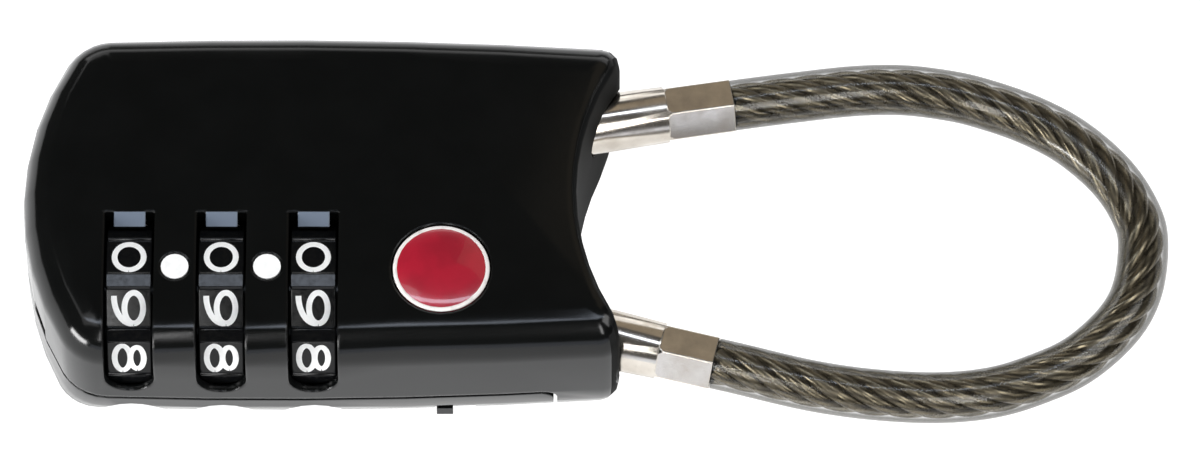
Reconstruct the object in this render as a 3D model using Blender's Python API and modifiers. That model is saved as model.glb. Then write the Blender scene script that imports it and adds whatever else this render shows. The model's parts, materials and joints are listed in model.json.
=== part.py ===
"""Three-dial cable luggage lock: housing, dials, key override, latch and coated cable."""

import math

import bmesh
import bpy
from mathutils import Matrix, Vector

MM = 0.001

# Housing.
BODY_LENGTH = 47.5 * MM
BODY_WIDTH = 29.32 * MM
END_RADIUS = 25.0 * MM
SIDE_RADIUS = 394.0 * MM
SIDE_PEAK_X = -4.0 * MM
HOLLOW_RADIUS = 22.1 * MM
LEFT_CORNER = 4.2 * MM
RIGHT_CORNER = 1.5 * MM
SMALLEST_CORNER = 0.8 * MM
FRONT_ROUND = 3.0 * MM
FRONT_ROUND_HOLLOW = 0.8 * MM
BACK_ROUND_SIDE = 7.5 * MM
BACK_ROUND_END = 4.0 * MM
BACK_ROUND_HOLLOW = 0.9 * MM
COVER_END_INSET = 5.15 * MM
COVER_CORNER = 1.2 * MM
PARTING_GAP = 0.3 * MM
SIDE_WALL = 0.6 * MM
BACK_WALL = 0.85 * MM
FACE_SKIN = 0.05 * MM
PARTING_DROP = 0.85 * MM
LEVEL_GAP = 0.02 * MM
OVERCUT = 1.0 * MM
JOIN = 0.1 * MM
BACK_STEPS = 6
FRONT_STEPS = 5
HOLLOW_STEPS = 2
COVER_CORNER_STEPS = 4

# Fits.
RUN_GAP = 0.3 * MM
SEAT_GAP = 0.2 * MM
SHOW_GAP = 0.1 * MM

# Dials and their hubs.
DIAL_COUNT = 3
DIGITS = 10
DIAL_PITCH = 7.3 * MM
DIAL_MIDDLE_X = -7.84 * MM
DIAL_WIDTH = 3.6 * MM
DIAL_SHARE = 0.2319
DIAL_BAR_HEIGHT = 0.35 * MM
DIAL_BAR_HALF_DEG = 4.4
DIAL_BAR_RAMP_DEG = 1.0
DIAL_PHASE_DEG = -6.0
DIAL_SIDE_GAP = 0.2 * MM
HUB_RADIUS = 4.3 * MM
HUB_BORE = 3.3 * MM
HUB_OVERHANG = 1.05 * MM
HUB_LUG = 0.5 * MM
HUB_SIDES = 24
HUB_LUG_HALF_DEG = 6.0
LUG_FLANK_DEG = 0.6
HUB_LUG_MARGIN = 0.3 * MM
NOTCH_HALF_DEG = 10.0
WEB_THICKNESS = 0.6 * MM

# Spindle.
SPINDLE_RADIUS = 1.6 * MM
FIN_THICKNESS = 0.5 * MM
FIN_WIDTH = 0.9 * MM
FIN_HEIGHT = 1.0 * MM
FIN_GAP = 0.2 * MM
COLLAR_RADIUS = 2.5 * MM
COLLAR_THICKNESS = 0.6 * MM
SPINDLE_STUB = 0.6 * MM
HEAD_RADIUS = 2.5 * MM
HEAD_THICKNESS = 1.5 * MM
HEAD_REACH = 8.24 * MM
TONGUE_LENGTH = 4.2 * MM
TONGUE_WIDTH = 1.2 * MM
TONGUE_THICKNESS = 0.9 * MM
TONGUE_INSET = 0.05 * MM
DRIVE_PIN_RADIUS = 0.55 * MM
DRIVE_PIN_DROP = 1.5 * MM
CHAMBER_LENGTH = 3.2 * MM
WIRE_RADIUS = 0.15 * MM
SPRING_TURNS = 2
TURN_POINTS = 10

# Windows and marks on the face.
WINDOW_TOP = 3.3 * MM
RAMP_RUN = 1.1 * MM
RAMP_DEPTH = 0.45 * MM
RAMP_WIDTH = 2.5 * MM
WINDOW_FOOT = 0.4 * MM
DOT_RADIUS = 1.1 * MM
DOT_DEPTH = 0.6 * MM
DOT_DROP = 0.5 * MM
BADGE_SETBACK = 14.15 * MM
BADGE_INSET = 7.36 * MM
BADGE_RADIUS = 3.8 * MM
BADGE_THICKNESS = 0.5 * MM
BADGE_DOME = 0.45 * MM
DOME_STEPS = 3
DOME_STEP_DEG = 25.0
BADGE_RECESS = 0.7 * MM
SCALLOP_RADIUS = 7.4 * MM
SCALLOP_DEPTH = 0.4 * MM
SCALLOP_HALF_LENGTH = 6.0 * MM
VIEW_TILT_DEG = 28.4
SLOT_Y = -7.9 * MM
SLOT_WIDTH = 2.6 * MM
SLOT_HEIGHT = 1.2 * MM
SLOT_OVERLAP = 0.6 * MM

# Latch.
LATCH_SETBACK = 8.55 * MM
LATCH_WIDTH = 5.3 * MM
LATCH_THICKNESS = 1.6 * MM
LATCH_LIFT = 0.9 * MM
LATCH_NOTCH_PLAY = 0.1 * MM
LATCH_NOSE_INSET = 0.9 * MM
LATCH_NOSE_WIDTH = 0.9 * MM
LATCH_NOSE_GAP = 0.45 * MM
LATCH_NOSE_LENGTH = 0.6 * MM
LATCH_SPINE = 1.3 * MM
LATCH_ARM = 0.9 * MM
SPINDLE_TRAVEL = 1.6 * MM
LATCH_SPRING_RADIUS = 0.9 * MM
LATCH_SPRING_LENGTH = 1.7 * MM

# Key cylinder.
KEY_WALL = 1.2 * MM
BARREL_RADIUS = 4.0 * MM
BARREL_INSET = 3.35 * MM
BARREL_LENGTH = 17.9 * MM
PLUG_RADIUS = 2.75 * MM
PLUG_NOSE = 1.0 * MM
PLUG_NECK_RADIUS = 1.9 * MM
PLUG_NECK_LENGTH = 0.8 * MM
PLUG_FLANGE_RADIUS = 2.4 * MM
PLUG_FLANGE = 0.8 * MM
PLUG_RUN_GAP = 0.15 * MM
KEYWAY_WIDTH = 1.3 * MM
KEYWAY_HEIGHT = 3.4 * MM
WAFER_COUNT = 4
WAFER_PITCH = 3.0 * MM
WAFER_FIRST = 4.2 * MM
WAFER_THICKNESS = 0.7 * MM
WAFER_WIDTH = 3.0 * MM
WAFER_HEIGHT = 4.3 * MM
WAFER_GAP = 0.12 * MM
WAFER_SLOT_HEIGHT = 3.2 * MM
TAIL_HALF_HEIGHT = 2.0 * MM
TAIL_THICKNESS = 1.0 * MM
TAIL_TONGUE_HALF = 1.3 * MM
CLIP_THICKNESS = 0.5 * MM
CLIP_RADIUS = 3.5 * MM
CLIP_MOUTH = 1.5 * MM

# Click spring.
CLICK_THICKNESS = 0.3 * MM
CLICK_WAVE = 0.35 * MM
CLICK_WIDTH = 4.0 * MM
CLICK_LIFT = 0.15 * MM
CLICK_STEPS = 6

# Cover pins.
COVER_PIN_RADIUS = 0.8 * MM
COVER_PIN_LENGTH = 6.0 * MM
COVER_PIN_X = 5.6 * MM
COVER_PIN_INSET = 3.06 * MM
COVER_PIN_SETBACK = 6.85 * MM
COVER_PIN_END = 3.15 * MM
COVER_PIN_KEY_DROP = 3.9 * MM

# Reset tab.
RESET_X = 9.8 * MM
RESET_TAB_WIDTH = 1.3 * MM
RESET_PLATE_LENGTH = 4.0 * MM
RESET_PLATE_WIDTH = 3.5 * MM
RESET_THICKNESS = 1.0 * MM
RESET_WALL = 0.6 * MM
RESET_STICKOUT = 0.35 * MM
RESET_DROP = 4.2 * MM
RESET_TRAVEL = 1.6 * MM

# Cable and ferrules.
CAPTIVE_SPLAY_DEG = 10.2
FREE_SPLAY_DEG = 13.3
BORE_REACH = 6.0 * MM
DROOP = 0.041
CAPTIVE_EXIT_SETBACK = 1.55 * MM
CAPTIVE_EXIT_INSET = 4.75 * MM
FREE_EXIT_SETBACK = 0.65 * MM
FREE_EXIT_INSET = 4.93 * MM
CABLE_LEAD = 2.0 * MM
CABLE_STEPS = 2
FERRULE_RADIUS = 2.4 * MM
TAPER_RADIUS = 2.28 * MM
CRIMP_CORNER = 2.4 * MM
CRIMP_STEP = 0.3 * MM
CRIMP_SIDES = 6
CAPTIVE_DEPTH = 5.6 * MM
CAPTIVE_ROUND = 5.3 * MM
CAPTIVE_LENGTH = 10.65 * MM
CAPTIVE_GROOVE_RADIUS = 1.7 * MM
CAPTIVE_GROOVE_START = 1.2 * MM
CAPTIVE_GROOVE_WIDTH = 1.4 * MM
CAPTIVE_PIN_RADIUS = 0.55 * MM
FREE_DEPTH = 11.5 * MM
FREE_SHOULDER = 5.5 * MM
SHOULDER_CHAMFER = 0.5 * MM
FREE_ROUND = 4.0 * MM
FREE_LENGTH = 8.4 * MM
TIP_RADIUS = 1.75 * MM
TIP_CHAMFER = 0.4 * MM
TIP_GROOVE_RADIUS = 1.05 * MM
TIP_GROOVE_START = 1.4 * MM
TIP_GROOVE_WIDTH = 1.6 * MM
BUSH_WALL = 0.5 * MM
BUSH_LENGTH = 5.5 * MM
BUSH_STICKOUT = 1.5 * MM
ROPE_RADIUS = 1.5 * MM
ROPE_INSERT = 4.5 * MM
ROPE_BORE_GAP = 0.15 * MM
JACKET_RADIUS = 2.04 * MM
JACKET_BORE_GAP = 0.2 * MM
JACKET_END_GAP = 0.3 * MM
CABLE_ROUTE = (
    (38.0, 12.7), (42.64, 13.38), (46.56, 13.55), (50.16, 13.15), (52.88, 12.5), (56.64, 11.1),
    (60.16, 9.04), (63.28, 5.97), (65.12, 2.74), (65.68, -0.07), (65.12, -4.26), (63.52, -7.48),
    (60.4, -10.64), (57.04, -12.49), (53.36, -13.8), (49.04, -14.35), (43.92, -14.19),
    (38.88, -13.48),
)

# Values that follow from the sizes above.
DIAL_FACET_RADIUS = DIAL_SHARE * BODY_WIDTH
DIAL_BAR_RADIUS = DIAL_FACET_RADIUS + DIAL_BAR_HEIGHT
BAY_RADIUS = DIAL_BAR_RADIUS + RUN_GAP
AXIS_Z = BACK_WALL + BAY_RADIUS
THICKNESS = AXIS_Z + BAY_RADIUS + FACE_SKIN
AXIS_Y = -BODY_WIDTH / 2 + SIDE_WALL + BAY_RADIUS
LEFT_X = -BODY_LENGTH / 2
RIGHT_X = BODY_LENGTH / 2
COVER_END_X = RIGHT_X - COVER_END_INSET
LATCH_RIGHT_X = RIGHT_X - LATCH_SETBACK
LATCH_NOSE_X = LATCH_RIGHT_X - LATCH_NOSE_INSET
BADGE_Y = -BODY_WIDTH / 2 + BADGE_INSET
BADGE_X = RIGHT_X - BADGE_SETBACK
PARTING_Z = AXIS_Z - PARTING_DROP
DIAL_X = [DIAL_MIDDLE_X + (i - (DIAL_COUNT - 1) / 2) * DIAL_PITCH for i in range(DIAL_COUNT)]
BAY_WIDTH = DIAL_WIDTH + 2 * DIAL_SIDE_GAP
HUB_LENGTH = DIAL_WIDTH + 2 * HUB_OVERHANG
BEARING_RADIUS = HUB_RADIUS + RUN_GAP
FIN_RADIUS = SPINDLE_RADIUS + FIN_HEIGHT
HUB_LEFT_X = DIAL_X[0] - HUB_LENGTH / 2
HUB_RIGHT_X = DIAL_X[-1] + HUB_LENGTH / 2
COLLAR_RIGHT_X = HUB_LEFT_X - SEAT_GAP
CHAMBER_RIGHT_X = HUB_LEFT_X - SEAT_GAP / 2
CHAMBER_LEFT_X = CHAMBER_RIGHT_X - CHAMBER_LENGTH
HEAD_RIGHT_X = HUB_RIGHT_X + HEAD_REACH - HEAD_THICKNESS / 2
CAPTIVE_SPLAY = math.radians(CAPTIVE_SPLAY_DEG)
FREE_SPLAY = math.radians(FREE_SPLAY_DEG)
DIRECTION_UP = Vector((math.cos(CAPTIVE_SPLAY), math.sin(CAPTIVE_SPLAY), -DROOP)).normalized()
DIRECTION_DOWN = Vector((math.cos(FREE_SPLAY), -math.sin(FREE_SPLAY), -DROOP)).normalized()
CAPTIVE_POINT = Vector((RIGHT_X - CAPTIVE_EXIT_SETBACK, BODY_WIDTH / 2 - CAPTIVE_EXIT_INSET, AXIS_Z))
FREE_POINT = Vector((RIGHT_X - FREE_EXIT_SETBACK, -BODY_WIDTH / 2 + FREE_EXIT_INSET, AXIS_Z))
CLICK_FOOT_Y = AXIS_Y + DIAL_BAR_RADIUS + CLICK_LIFT
CLICK_TOP_Y = CLICK_FOOT_Y + CLICK_WAVE + CLICK_THICKNESS
KEY_Y = CLICK_TOP_Y + SEAT_GAP + KEY_WALL + SEAT_GAP + BARREL_RADIUS
BARREL_LEFT_X = LEFT_X + BARREL_INSET
BARREL_RIGHT_X = BARREL_LEFT_X + BARREL_LENGTH
VIEW_TILT = math.radians(VIEW_TILT_DEG)
VIEW = Vector((0.0, -math.sin(VIEW_TILT), math.cos(VIEW_TILT)))
COVER_PINS = (
    (COVER_PIN_X, KEY_Y - COVER_PIN_KEY_DROP),
    (RIGHT_X - COVER_PIN_SETBACK, 0.0),
    (COVER_PIN_X, -BODY_WIDTH / 2 + COVER_PIN_INSET),
    (LEFT_X + COVER_PIN_END, 0.0),
)


def start_scene():
    """Remove every object that the file starts with and make the two collections."""
    for item in list(bpy.data.objects):
        bpy.data.objects.remove(item)
    for name in (PARTS, CUTTERS):
        bpy.context.scene.collection.children.link(bpy.data.collections.new(name))


def link(name, mesh):
    """Put a mesh into the collection of parts.

    Args:
        name: Name of the object.
        mesh: Its mesh.

    Returns:
        The linked object.
    """
    obj = bpy.data.objects.new(name, mesh)
    bpy.data.collections[PARTS].objects.link(obj)
    return obj


def tidy(mesh):
    """Weld a mesh and turn its faces outwards.

    Args:
        mesh: The mesh.
    """
    form = bmesh.new()
    form.from_mesh(mesh)
    bmesh.ops.remove_doubles(form, verts=form.verts, dist=WELD)
    bmesh.ops.recalc_face_normals(form, faces=form.faces)
    form.to_mesh(mesh)
    form.free()


def paint(obj, finish, pivot=None):
    """Give an object its material, smooth round faces and the origin it moves about.

    Args:
        obj: The object.
        finish: Its finish.
        pivot: Point for the object's origin, if it moves.

    Returns:
        The same object.
    """
    name, colour, roughness, metallic, alpha = finish
    material = bpy.data.materials.get(name)
    if material is None:
        material = bpy.data.materials.new(name)
        material.use_nodes = True
        shader = material.node_tree.nodes["Principled BSDF"]
        shader.inputs["Base Color"].default_value = (*colour, 1.0)
        shader.inputs["Roughness"].default_value = roughness
        shader.inputs["Metallic"].default_value = metallic
        shader.inputs["Alpha"].default_value = alpha
        material.diffuse_color = (*colour, alpha)
    obj.data.materials.clear()
    obj.data.materials.append(material)
    obj.data.shade_smooth()
    obj.data.set_sharp_from_angle(angle=SHARP_ANGLE)
    if pivot is not None:
        obj.data.transform(Matrix.Translation(-pivot))
        obj.location = pivot
    return obj


# Finishes: name, linear colour, roughness, metallic, alpha.
BLACK_PAINT = ("black_painted_zinc", (0.02, 0.02, 0.022), 0.4, 0.0, 1.0)
BLACK_PLASTIC = ("black_plastic", (0.015, 0.015, 0.017), 0.3, 0.0, 1.0)
STEEL = ("steel", (0.45, 0.45, 0.46), 0.35, 1.0, 1.0)
SPRING_STEEL = ("spring_steel", (0.5, 0.5, 0.52), 0.3, 1.0, 1.0)
BRASS = ("brass", (0.6, 0.45, 0.2), 0.35, 1.0, 1.0)
NICKEL = ("nickel_plated_steel", (0.55, 0.52, 0.47), 0.25, 1.0, 1.0)
CLEAR_PVC = ("clear_pvc", (0.75, 0.72, 0.62), 0.1, 0.0, 0.45)
WHITE_INK = ("white_plastic", (0.85, 0.85, 0.85), 0.5, 0.0, 1.0)
RED_ENAMEL = ("red_enamel", (0.6, 0.03, 0.04), 0.2, 0.0, 1.0)

PARTS = "cable_luggage_lock"
CUTTERS = "cutters"
WELD = 1e-7
SCREW_WELD = 1e-6
STEEP = 0.9
X_AXIS = Vector((1, 0, 0))
QUARTER = math.pi / 2
SHARP_ANGLE = math.radians(30.0)


def loft(name, rings):
    """Join rings of equal length into one closed body.

    Args:
        name: Name of the object.
        rings: Lists of points, one list a ring.

    Returns:
        The linked object.
    """
    count = len(rings[0])
    vertices = [point for ring in rings for point in ring]
    faces = [tuple(range(count)), tuple(range((len(rings) - 1) * count, len(rings) * count))]
    for row in range(len(rings) - 1):
        low = row * count
        high = low + count
        for i in range(count):
            j = (i + 1) % count
            faces.append((low + i, low + j, high + j, high + i))
    mesh = bpy.data.meshes.new(name)
    mesh.from_pydata(vertices, [], faces)
    tidy(mesh)
    return link(name, mesh)


def from_curve(name, curve):
    """Turn a curve that is drawn in millimetres into a closed mesh.

    Args:
        name: Name of the object.
        curve: The curve.

    Returns:
        The linked object.
    """
    drawn = bpy.data.objects.new(name, curve)
    bpy.context.scene.collection.objects.link(drawn)
    bpy.context.view_layer.update()
    graph = bpy.context.evaluated_depsgraph_get()
    mesh = bpy.data.meshes.new_from_object(drawn.evaluated_get(graph))
    bpy.data.objects.remove(drawn)
    mesh.transform(Matrix.Scale(MM, 4))
    tidy(mesh)
    return link(name, mesh)


def add_spline(curve, points, cyclic):
    """Add one straight-sided spline to a curve.

    Args:
        curve: The curve.
        points: Points in metres with two or three coordinates.
        cyclic: Close the spline.
    """
    spline = curve.splines.new("POLY")
    spline.points.add(len(points) - 1)
    spline.use_cyclic_u = cyclic
    for target, point in zip(spline.points, points):
        place = Vector((*point, 0.0)[:3]) / MM
        target.co = (*place, 1.0)


def tube(name, path, radius, resolution):
    """Draw a round bar along a path.

    Args:
        name: Name of the object.
        path: Points of the path.
        radius: Radius of the bar.
        resolution: Fineness of its section.

    Returns:
        The linked object.
    """
    curve = bpy.data.curves.new(name, "CURVE")
    curve.dimensions = "3D"
    curve.bevel_depth = radius / MM
    curve.bevel_resolution = resolution
    curve.use_fill_caps = True
    add_spline(curve, path, False)
    return from_curve(name, curve)


def prism(name, outline, axis, low, high, holes=()):
    """Push a flat outline along one axis.

    Args:
        name: Name of the object.
        outline: Points in the two axes that are left, in the order X, Y, Z.
        axis: 0, 1 or 2, the axis to push along.
        low: Start on that axis.
        high: End on that axis.
        holes: Outlines of openings.

    Returns:
        The linked object.
    """
    curve = bpy.data.curves.new(name, "CURVE")
    curve.dimensions = "2D"
    curve.fill_mode = "BOTH"
    curve.extrude = (high - low) / 2 / MM
    for loop in (outline, *holes):
        add_spline(curve, loop, True)
    obj = from_curve(name, curve)
    turns = (
        Matrix(((0, 0, 1), (1, 0, 0), (0, 1, 0))),
        Matrix(((1, 0, 0), (0, 0, -1), (0, 1, 0))),
        Matrix.Identity(3),
    )
    shift = Vector((0.0, 0.0, 0.0))
    shift[axis] = (low + high) / 2
    obj.data.transform(Matrix.Translation(shift) @ turns[axis].to_4x4())
    return obj


def box(name, low, high):
    """Make a box between two corners.

    Args:
        name: Name of the object.
        low: Lower corner.
        high: Upper corner.

    Returns:
        The linked object.
    """
    size = Vector(high) - Vector(low)
    middle = (Vector(high) + Vector(low)) / 2
    form = bmesh.new()
    bmesh.ops.create_cube(form, size=1.0, matrix=Matrix.Translation(middle) @ Matrix.Diagonal((*size, 1.0)))
    mesh = bpy.data.meshes.new(name)
    form.to_mesh(mesh)
    form.free()
    return link(name, mesh)


def stand(origin, direction, front=None):
    """Find the transform that stands the Z axis along a direction.

    Args:
        origin: Where the zero point goes.
        direction: Unit vector for the Z axis.
        front: Where the Y axis faces, as far as it can.

    Returns:
        The transform.
    """
    helper = front or (Vector((0, 0, 1)) if abs(direction.z) < STEEP else Vector((0, 1, 0)))
    across = helper.cross(direction).normalized()
    ahead = direction.cross(across)
    turn = Matrix((across, ahead, direction)).transposed()
    return Matrix.Translation(origin) @ turn.to_4x4()


def turned(name, origin, direction, profile, sides=24, closed=False):
    """Turn a profile about an axis.

    Args:
        name: Name of the object.
        origin: Zero point on the axis.
        direction: Unit vector along the axis.
        profile: Pairs of distance along the axis and radius.
        sides: Number of sides.
        closed: Make a ring with a bore instead of a solid.

    Returns:
        The linked object.
    """
    line = [(radius, 0.0, along) for along, radius in reversed(profile)]
    if not closed:
        line = [(0.0, 0.0, line[0][2])] + line + [(0.0, 0.0, line[-1][2])]
    edges = [(i, i + 1) for i in range(len(line) - 1)]
    if closed:
        edges.append((len(line) - 1, 0))
    mesh = bpy.data.meshes.new(name)
    mesh.from_pydata(line, edges, [])
    obj = link(name, mesh)
    screw = obj.modifiers.new("turn", "SCREW")
    screw.axis = "Z"
    screw.steps = sides
    screw.render_steps = sides
    screw.use_merge_vertices = True
    screw.merge_threshold = SCREW_WELD
    settle(obj)
    tidy(obj.data)
    obj.data.transform(stand(origin, direction))
    return obj


def rod(name, start, end, radius, sides=24, front=None):
    """Make a straight bar with round or many-sided section between two points.

    Args:
        name: Name of the object.
        start: First end.
        end: Second end.
        radius: Radius to the corners.
        sides: Number of sides.
        front: Where a corner faces, as far as it can.

    Returns:
        The linked object.
    """
    along = Vector(end) - Vector(start)
    middle = (Vector(start) + Vector(end)) / 2
    form = bmesh.new()
    bmesh.ops.create_cone(form, cap_ends=True, segments=sides, radius1=radius, radius2=radius,
                          depth=along.length, matrix=stand(middle, along.normalized(), front))
    mesh = bpy.data.meshes.new(name)
    form.to_mesh(mesh)
    form.free()
    return link(name, mesh)


def on_axis(x):
    """Return the point of the dial axis at one X.

    Args:
        x: Place along the length.

    Returns:
        The point.
    """
    return Vector((x, AXIS_Y, AXIS_Z))


def on_key(x):
    """Return the point of the key axis at one X.

    Args:
        x: Place along the length.

    Returns:
        The point.
    """
    return Vector((x, KEY_Y, AXIS_Z))


def tool(obj):
    """Move an object that isn't part of the lock to the cutters.

    Args:
        obj: The cutter.

    Returns:
        The same object.
    """
    obj.hide_render = True
    obj.display_type = "WIRE"
    if obj.name not in bpy.data.collections[CUTTERS].objects:
        bpy.data.collections[PARTS].objects.unlink(obj)
        bpy.data.collections[CUTTERS].objects.link(obj)
    return obj


def combine(target, other, operation="DIFFERENCE"):
    """Add one Boolean to an object.

    Args:
        target: The object that changes.
        other: The cutter or the piece to add.
        operation: DIFFERENCE, UNION or INTERSECT.
    """
    modifier = target.modifiers.new(operation.lower(), "BOOLEAN")
    modifier.operation = operation
    modifier.solver = "EXACT"
    modifier.object = tool(other)


def settle(obj):
    """Replace an object's mesh by what its modifiers make of it.

    Args:
        obj: The object.
    """
    bpy.context.view_layer.update()
    graph = bpy.context.evaluated_depsgraph_get()
    mesh = bpy.data.meshes.new_from_object(obj.evaluated_get(graph))
    obj.modifiers.clear()
    obj.data = mesh


def copy_of(obj, name, offset):
    """Make a moved copy of an object's mesh.

    Args:
        obj: The object to copy.
        name: Name of the copy.
        offset: How far it is moved.

    Returns:
        The linked copy.
    """
    mesh = obj.data.copy()
    mesh.transform(Matrix.Translation(offset))
    return link(name, mesh)


def meet(first, first_radius, second, second_radius, up):
    """Find where two circles cross in the plan.

    Args:
        first: Centre of the first circle.
        first_radius: Radius of the first circle.
        second: Centre of the second circle.
        second_radius: Radius of the second circle.
        up: Take the crossing with the larger Y.

    Returns:
        The crossing as a 2-D vector.
    """
    gap = second - first
    along = (gap.length_squared + first_radius ** 2 - second_radius ** 2) / (2 * gap.length)
    across = math.sqrt(max(first_radius ** 2 - along ** 2, 0.0))
    unit = gap.normalized()
    base = first + unit * along
    square = Vector((-unit.y, unit.x))
    options = (base + square * across, base - square * across)
    return max(options, key=lambda p: p.y) if up else min(options, key=lambda p: p.y)


def arc(centre, start, end, steps):
    """Sample a circle between two of its points the short way round.

    Args:
        centre: Centre of the circle.
        start: First point.
        end: Last point.
        steps: Number of chords.

    Returns:
        The points without the last one.
    """
    first = start - centre
    last = end - centre
    turn = math.atan2(first.x * last.y - first.y * last.x, first.dot(last))
    points = []
    for i in range(steps):
        angle = turn * i / steps
        rotated = Vector((first.x * math.cos(angle) - first.y * math.sin(angle),
                          first.x * math.sin(angle) + first.y * math.cos(angle)))
        points.append(centre + rotated)
    return points


def body_outline(side, end, hollow):
    """Draw the plan of the housing, drawn in by a distance on each kind of edge.

    Args:
        side: Inset of the long sides.
        end: Inset of the convex left end.
        hollow: Inset of the concave right end.

    Returns:
        The points of the closed outline.
    """
    side_centre = Vector((SIDE_PEAK_X, BODY_WIDTH / 2 - SIDE_RADIUS))
    end_centre = Vector((LEFT_X + END_RADIUS, 0.0))
    corner_x = RIGHT_X - RIGHT_CORNER
    reach = SIDE_RADIUS - RIGHT_CORNER
    corner_y = side_centre.y + math.sqrt(reach ** 2 - (corner_x - SIDE_PEAK_X) ** 2)
    hollow_x = corner_x + math.sqrt((HOLLOW_RADIUS + RIGHT_CORNER) ** 2 - corner_y ** 2)
    hollow_centre = Vector((hollow_x, 0.0))
    left = max(LEFT_CORNER - (side + end) / 2, SMALLEST_CORNER)
    right = max(RIGHT_CORNER - (side + hollow) / 4, SMALLEST_CORNER)
    left_fillet = meet(end_centre, END_RADIUS - end - left,
                       side_centre, SIDE_RADIUS - side - left, True)
    right_fillet = meet(side_centre, SIDE_RADIUS - side - right,
                        hollow_centre, HOLLOW_RADIUS + hollow + right, True)
    apex = Vector((LEFT_X + end, 0.0))
    end_tangent = end_centre + (left_fillet - end_centre).normalized() * (END_RADIUS - end)
    left_tangent = side_centre + (left_fillet - side_centre).normalized() * (SIDE_RADIUS - side)
    right_tangent = side_centre + (right_fillet - side_centre).normalized() * (SIDE_RADIUS - side)
    hollow_unit = (right_fillet - hollow_centre).normalized()
    hollow_tangent = hollow_centre + hollow_unit * (HOLLOW_RADIUS + hollow)
    waist = Vector((hollow_centre.x - HOLLOW_RADIUS - hollow, 0.0))
    upper = arc(end_centre, apex, end_tangent, 4)
    upper += arc(left_fillet, end_tangent, left_tangent, 5)
    upper += arc(side_centre, left_tangent, right_tangent, 5)
    upper += arc(right_fillet, right_tangent, hollow_tangent, 4)
    upper += arc(hollow_centre, hollow_tangent, waist, 5)
    lower = [Vector((p.x, -p.y)) for p in reversed(upper[1:])]
    return upper + [waist] + lower


def edge_inset(z, front_round, back_round):
    """Find how far a rounded rim draws the outline in at one height.

    Args:
        z: Height.
        front_round: Radius of the front rim.
        back_round: Radius of the back rim.

    Returns:
        The inset.
    """
    from_front = THICKNESS - z
    if from_front < front_round:
        return front_round - math.sqrt(front_round ** 2 - (front_round - from_front) ** 2)
    if z < back_round:
        return back_round - math.sqrt(back_round ** 2 - (back_round - z) ** 2)
    return 0.0


def body_levels():
    """List the heights at which the housing's loft has a ring.

    Returns:
        Heights from the back to the front.
    """
    levels = []
    for step in range(BACK_STEPS + 1):
        levels.append(BACK_ROUND_SIDE * (1 - math.cos(QUARTER * step / BACK_STEPS)))
    for step in range(1, HOLLOW_STEPS + 1):
        levels.append(BACK_ROUND_HOLLOW * (1 - math.cos(QUARTER * step / HOLLOW_STEPS)))
    for step in range(FRONT_STEPS + 1):
        levels.append(THICKNESS - FRONT_ROUND * (1 - math.cos(QUARTER * step / FRONT_STEPS)))
    for step in range(1, HOLLOW_STEPS + 1):
        levels.append(THICKNESS - FRONT_ROUND_HOLLOW * (1 - math.cos(QUARTER * step / HOLLOW_STEPS)))
    ordered = sorted(levels)
    kept = [ordered[0]]
    for level in ordered[1:]:
        if level - kept[-1] > LEVEL_GAP:
            kept.append(level)
    return kept


def body_solid(name):
    """Make the whole outside form of the housing.

    Args:
        name: Name of the object.

    Returns:
        The linked object.
    """
    rings = []
    for z in body_levels():
        side = edge_inset(z, FRONT_ROUND, BACK_ROUND_SIDE)
        end = edge_inset(z, FRONT_ROUND, BACK_ROUND_END)
        hollow = edge_inset(z, FRONT_ROUND_HOLLOW, BACK_ROUND_HOLLOW)
        rings.append([Vector((p.x, p.y, z)) for p in body_outline(side, end, hollow)])
    return loft(name, rings)


def cover_region(name, offset):
    """Make the space that the back cover takes up.

    Args:
        name: Name of the object.
        offset: How far the parting faces are moved out.

    Returns:
        The linked object.
    """
    right = COVER_END_X + offset
    top = PARTING_Z + offset
    far = BODY_LENGTH
    outline = [(-far, -far), (right, -far)]
    for step in range(COVER_CORNER_STEPS + 1):
        angle = QUARTER * step / COVER_CORNER_STEPS
        outline.append((right - COVER_CORNER * (1 - math.cos(angle)),
                        top - COVER_CORNER * (1 - math.sin(angle))))
    outline.append((-far, top))
    return prism(name, outline, 1, -BODY_WIDTH, BODY_WIDTH)


def dial_outline():
    """Draw the ten-sided dial with a bar between its facets.

    Returns:
        Pairs of radius and angle.
    """
    sector = 2 * math.pi / DIGITS
    facet = sector / 2 - math.radians(DIAL_BAR_HALF_DEG + DIAL_BAR_RAMP_DEG)
    bar = sector / 2 - math.radians(DIAL_BAR_HALF_DEG)
    corner = DIAL_FACET_RADIUS / math.cos(facet)
    points = []
    for i in range(DIGITS):
        base = sector * i
        points.append((corner, base - facet))
        points.append((corner, base + facet))
        points.append((DIAL_BAR_RADIUS, base + bar))
        points.append((DIAL_BAR_RADIUS, base + sector - bar))
    return points


def spline_outline(root, tip, half_deg):
    """Draw a ring of lugs or notches, one to each digit.

    Args:
        root: Radius between the lugs.
        tip: Radius of the lugs.
        half_deg: Half the angle of one lug.

    Returns:
        Pairs of radius and angle.
    """
    sector = 2 * math.pi / DIGITS
    half = math.radians(half_deg)
    flank = math.radians(LUG_FLANK_DEG)
    points = []
    for i in range(DIGITS):
        base = sector * i
        points.append((root, base - half - flank))
        points.append((tip, base - half))
        points.append((tip, base + half))
        points.append((root, base + half + flank))
    return points


def about_axis(outline, phase_deg=0.0):
    """Place an outline of radii and angles round the dial axis.

    Args:
        outline: Pairs of radius and angle, counted from the front.
        phase_deg: Angle that is added to each.

    Returns:
        Pairs of Y and Z.
    """
    phase = math.radians(phase_deg)
    return [(AXIS_Y - r * math.sin(a + phase), AXIS_Z + r * math.cos(a + phase)) for r, a in outline]


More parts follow.
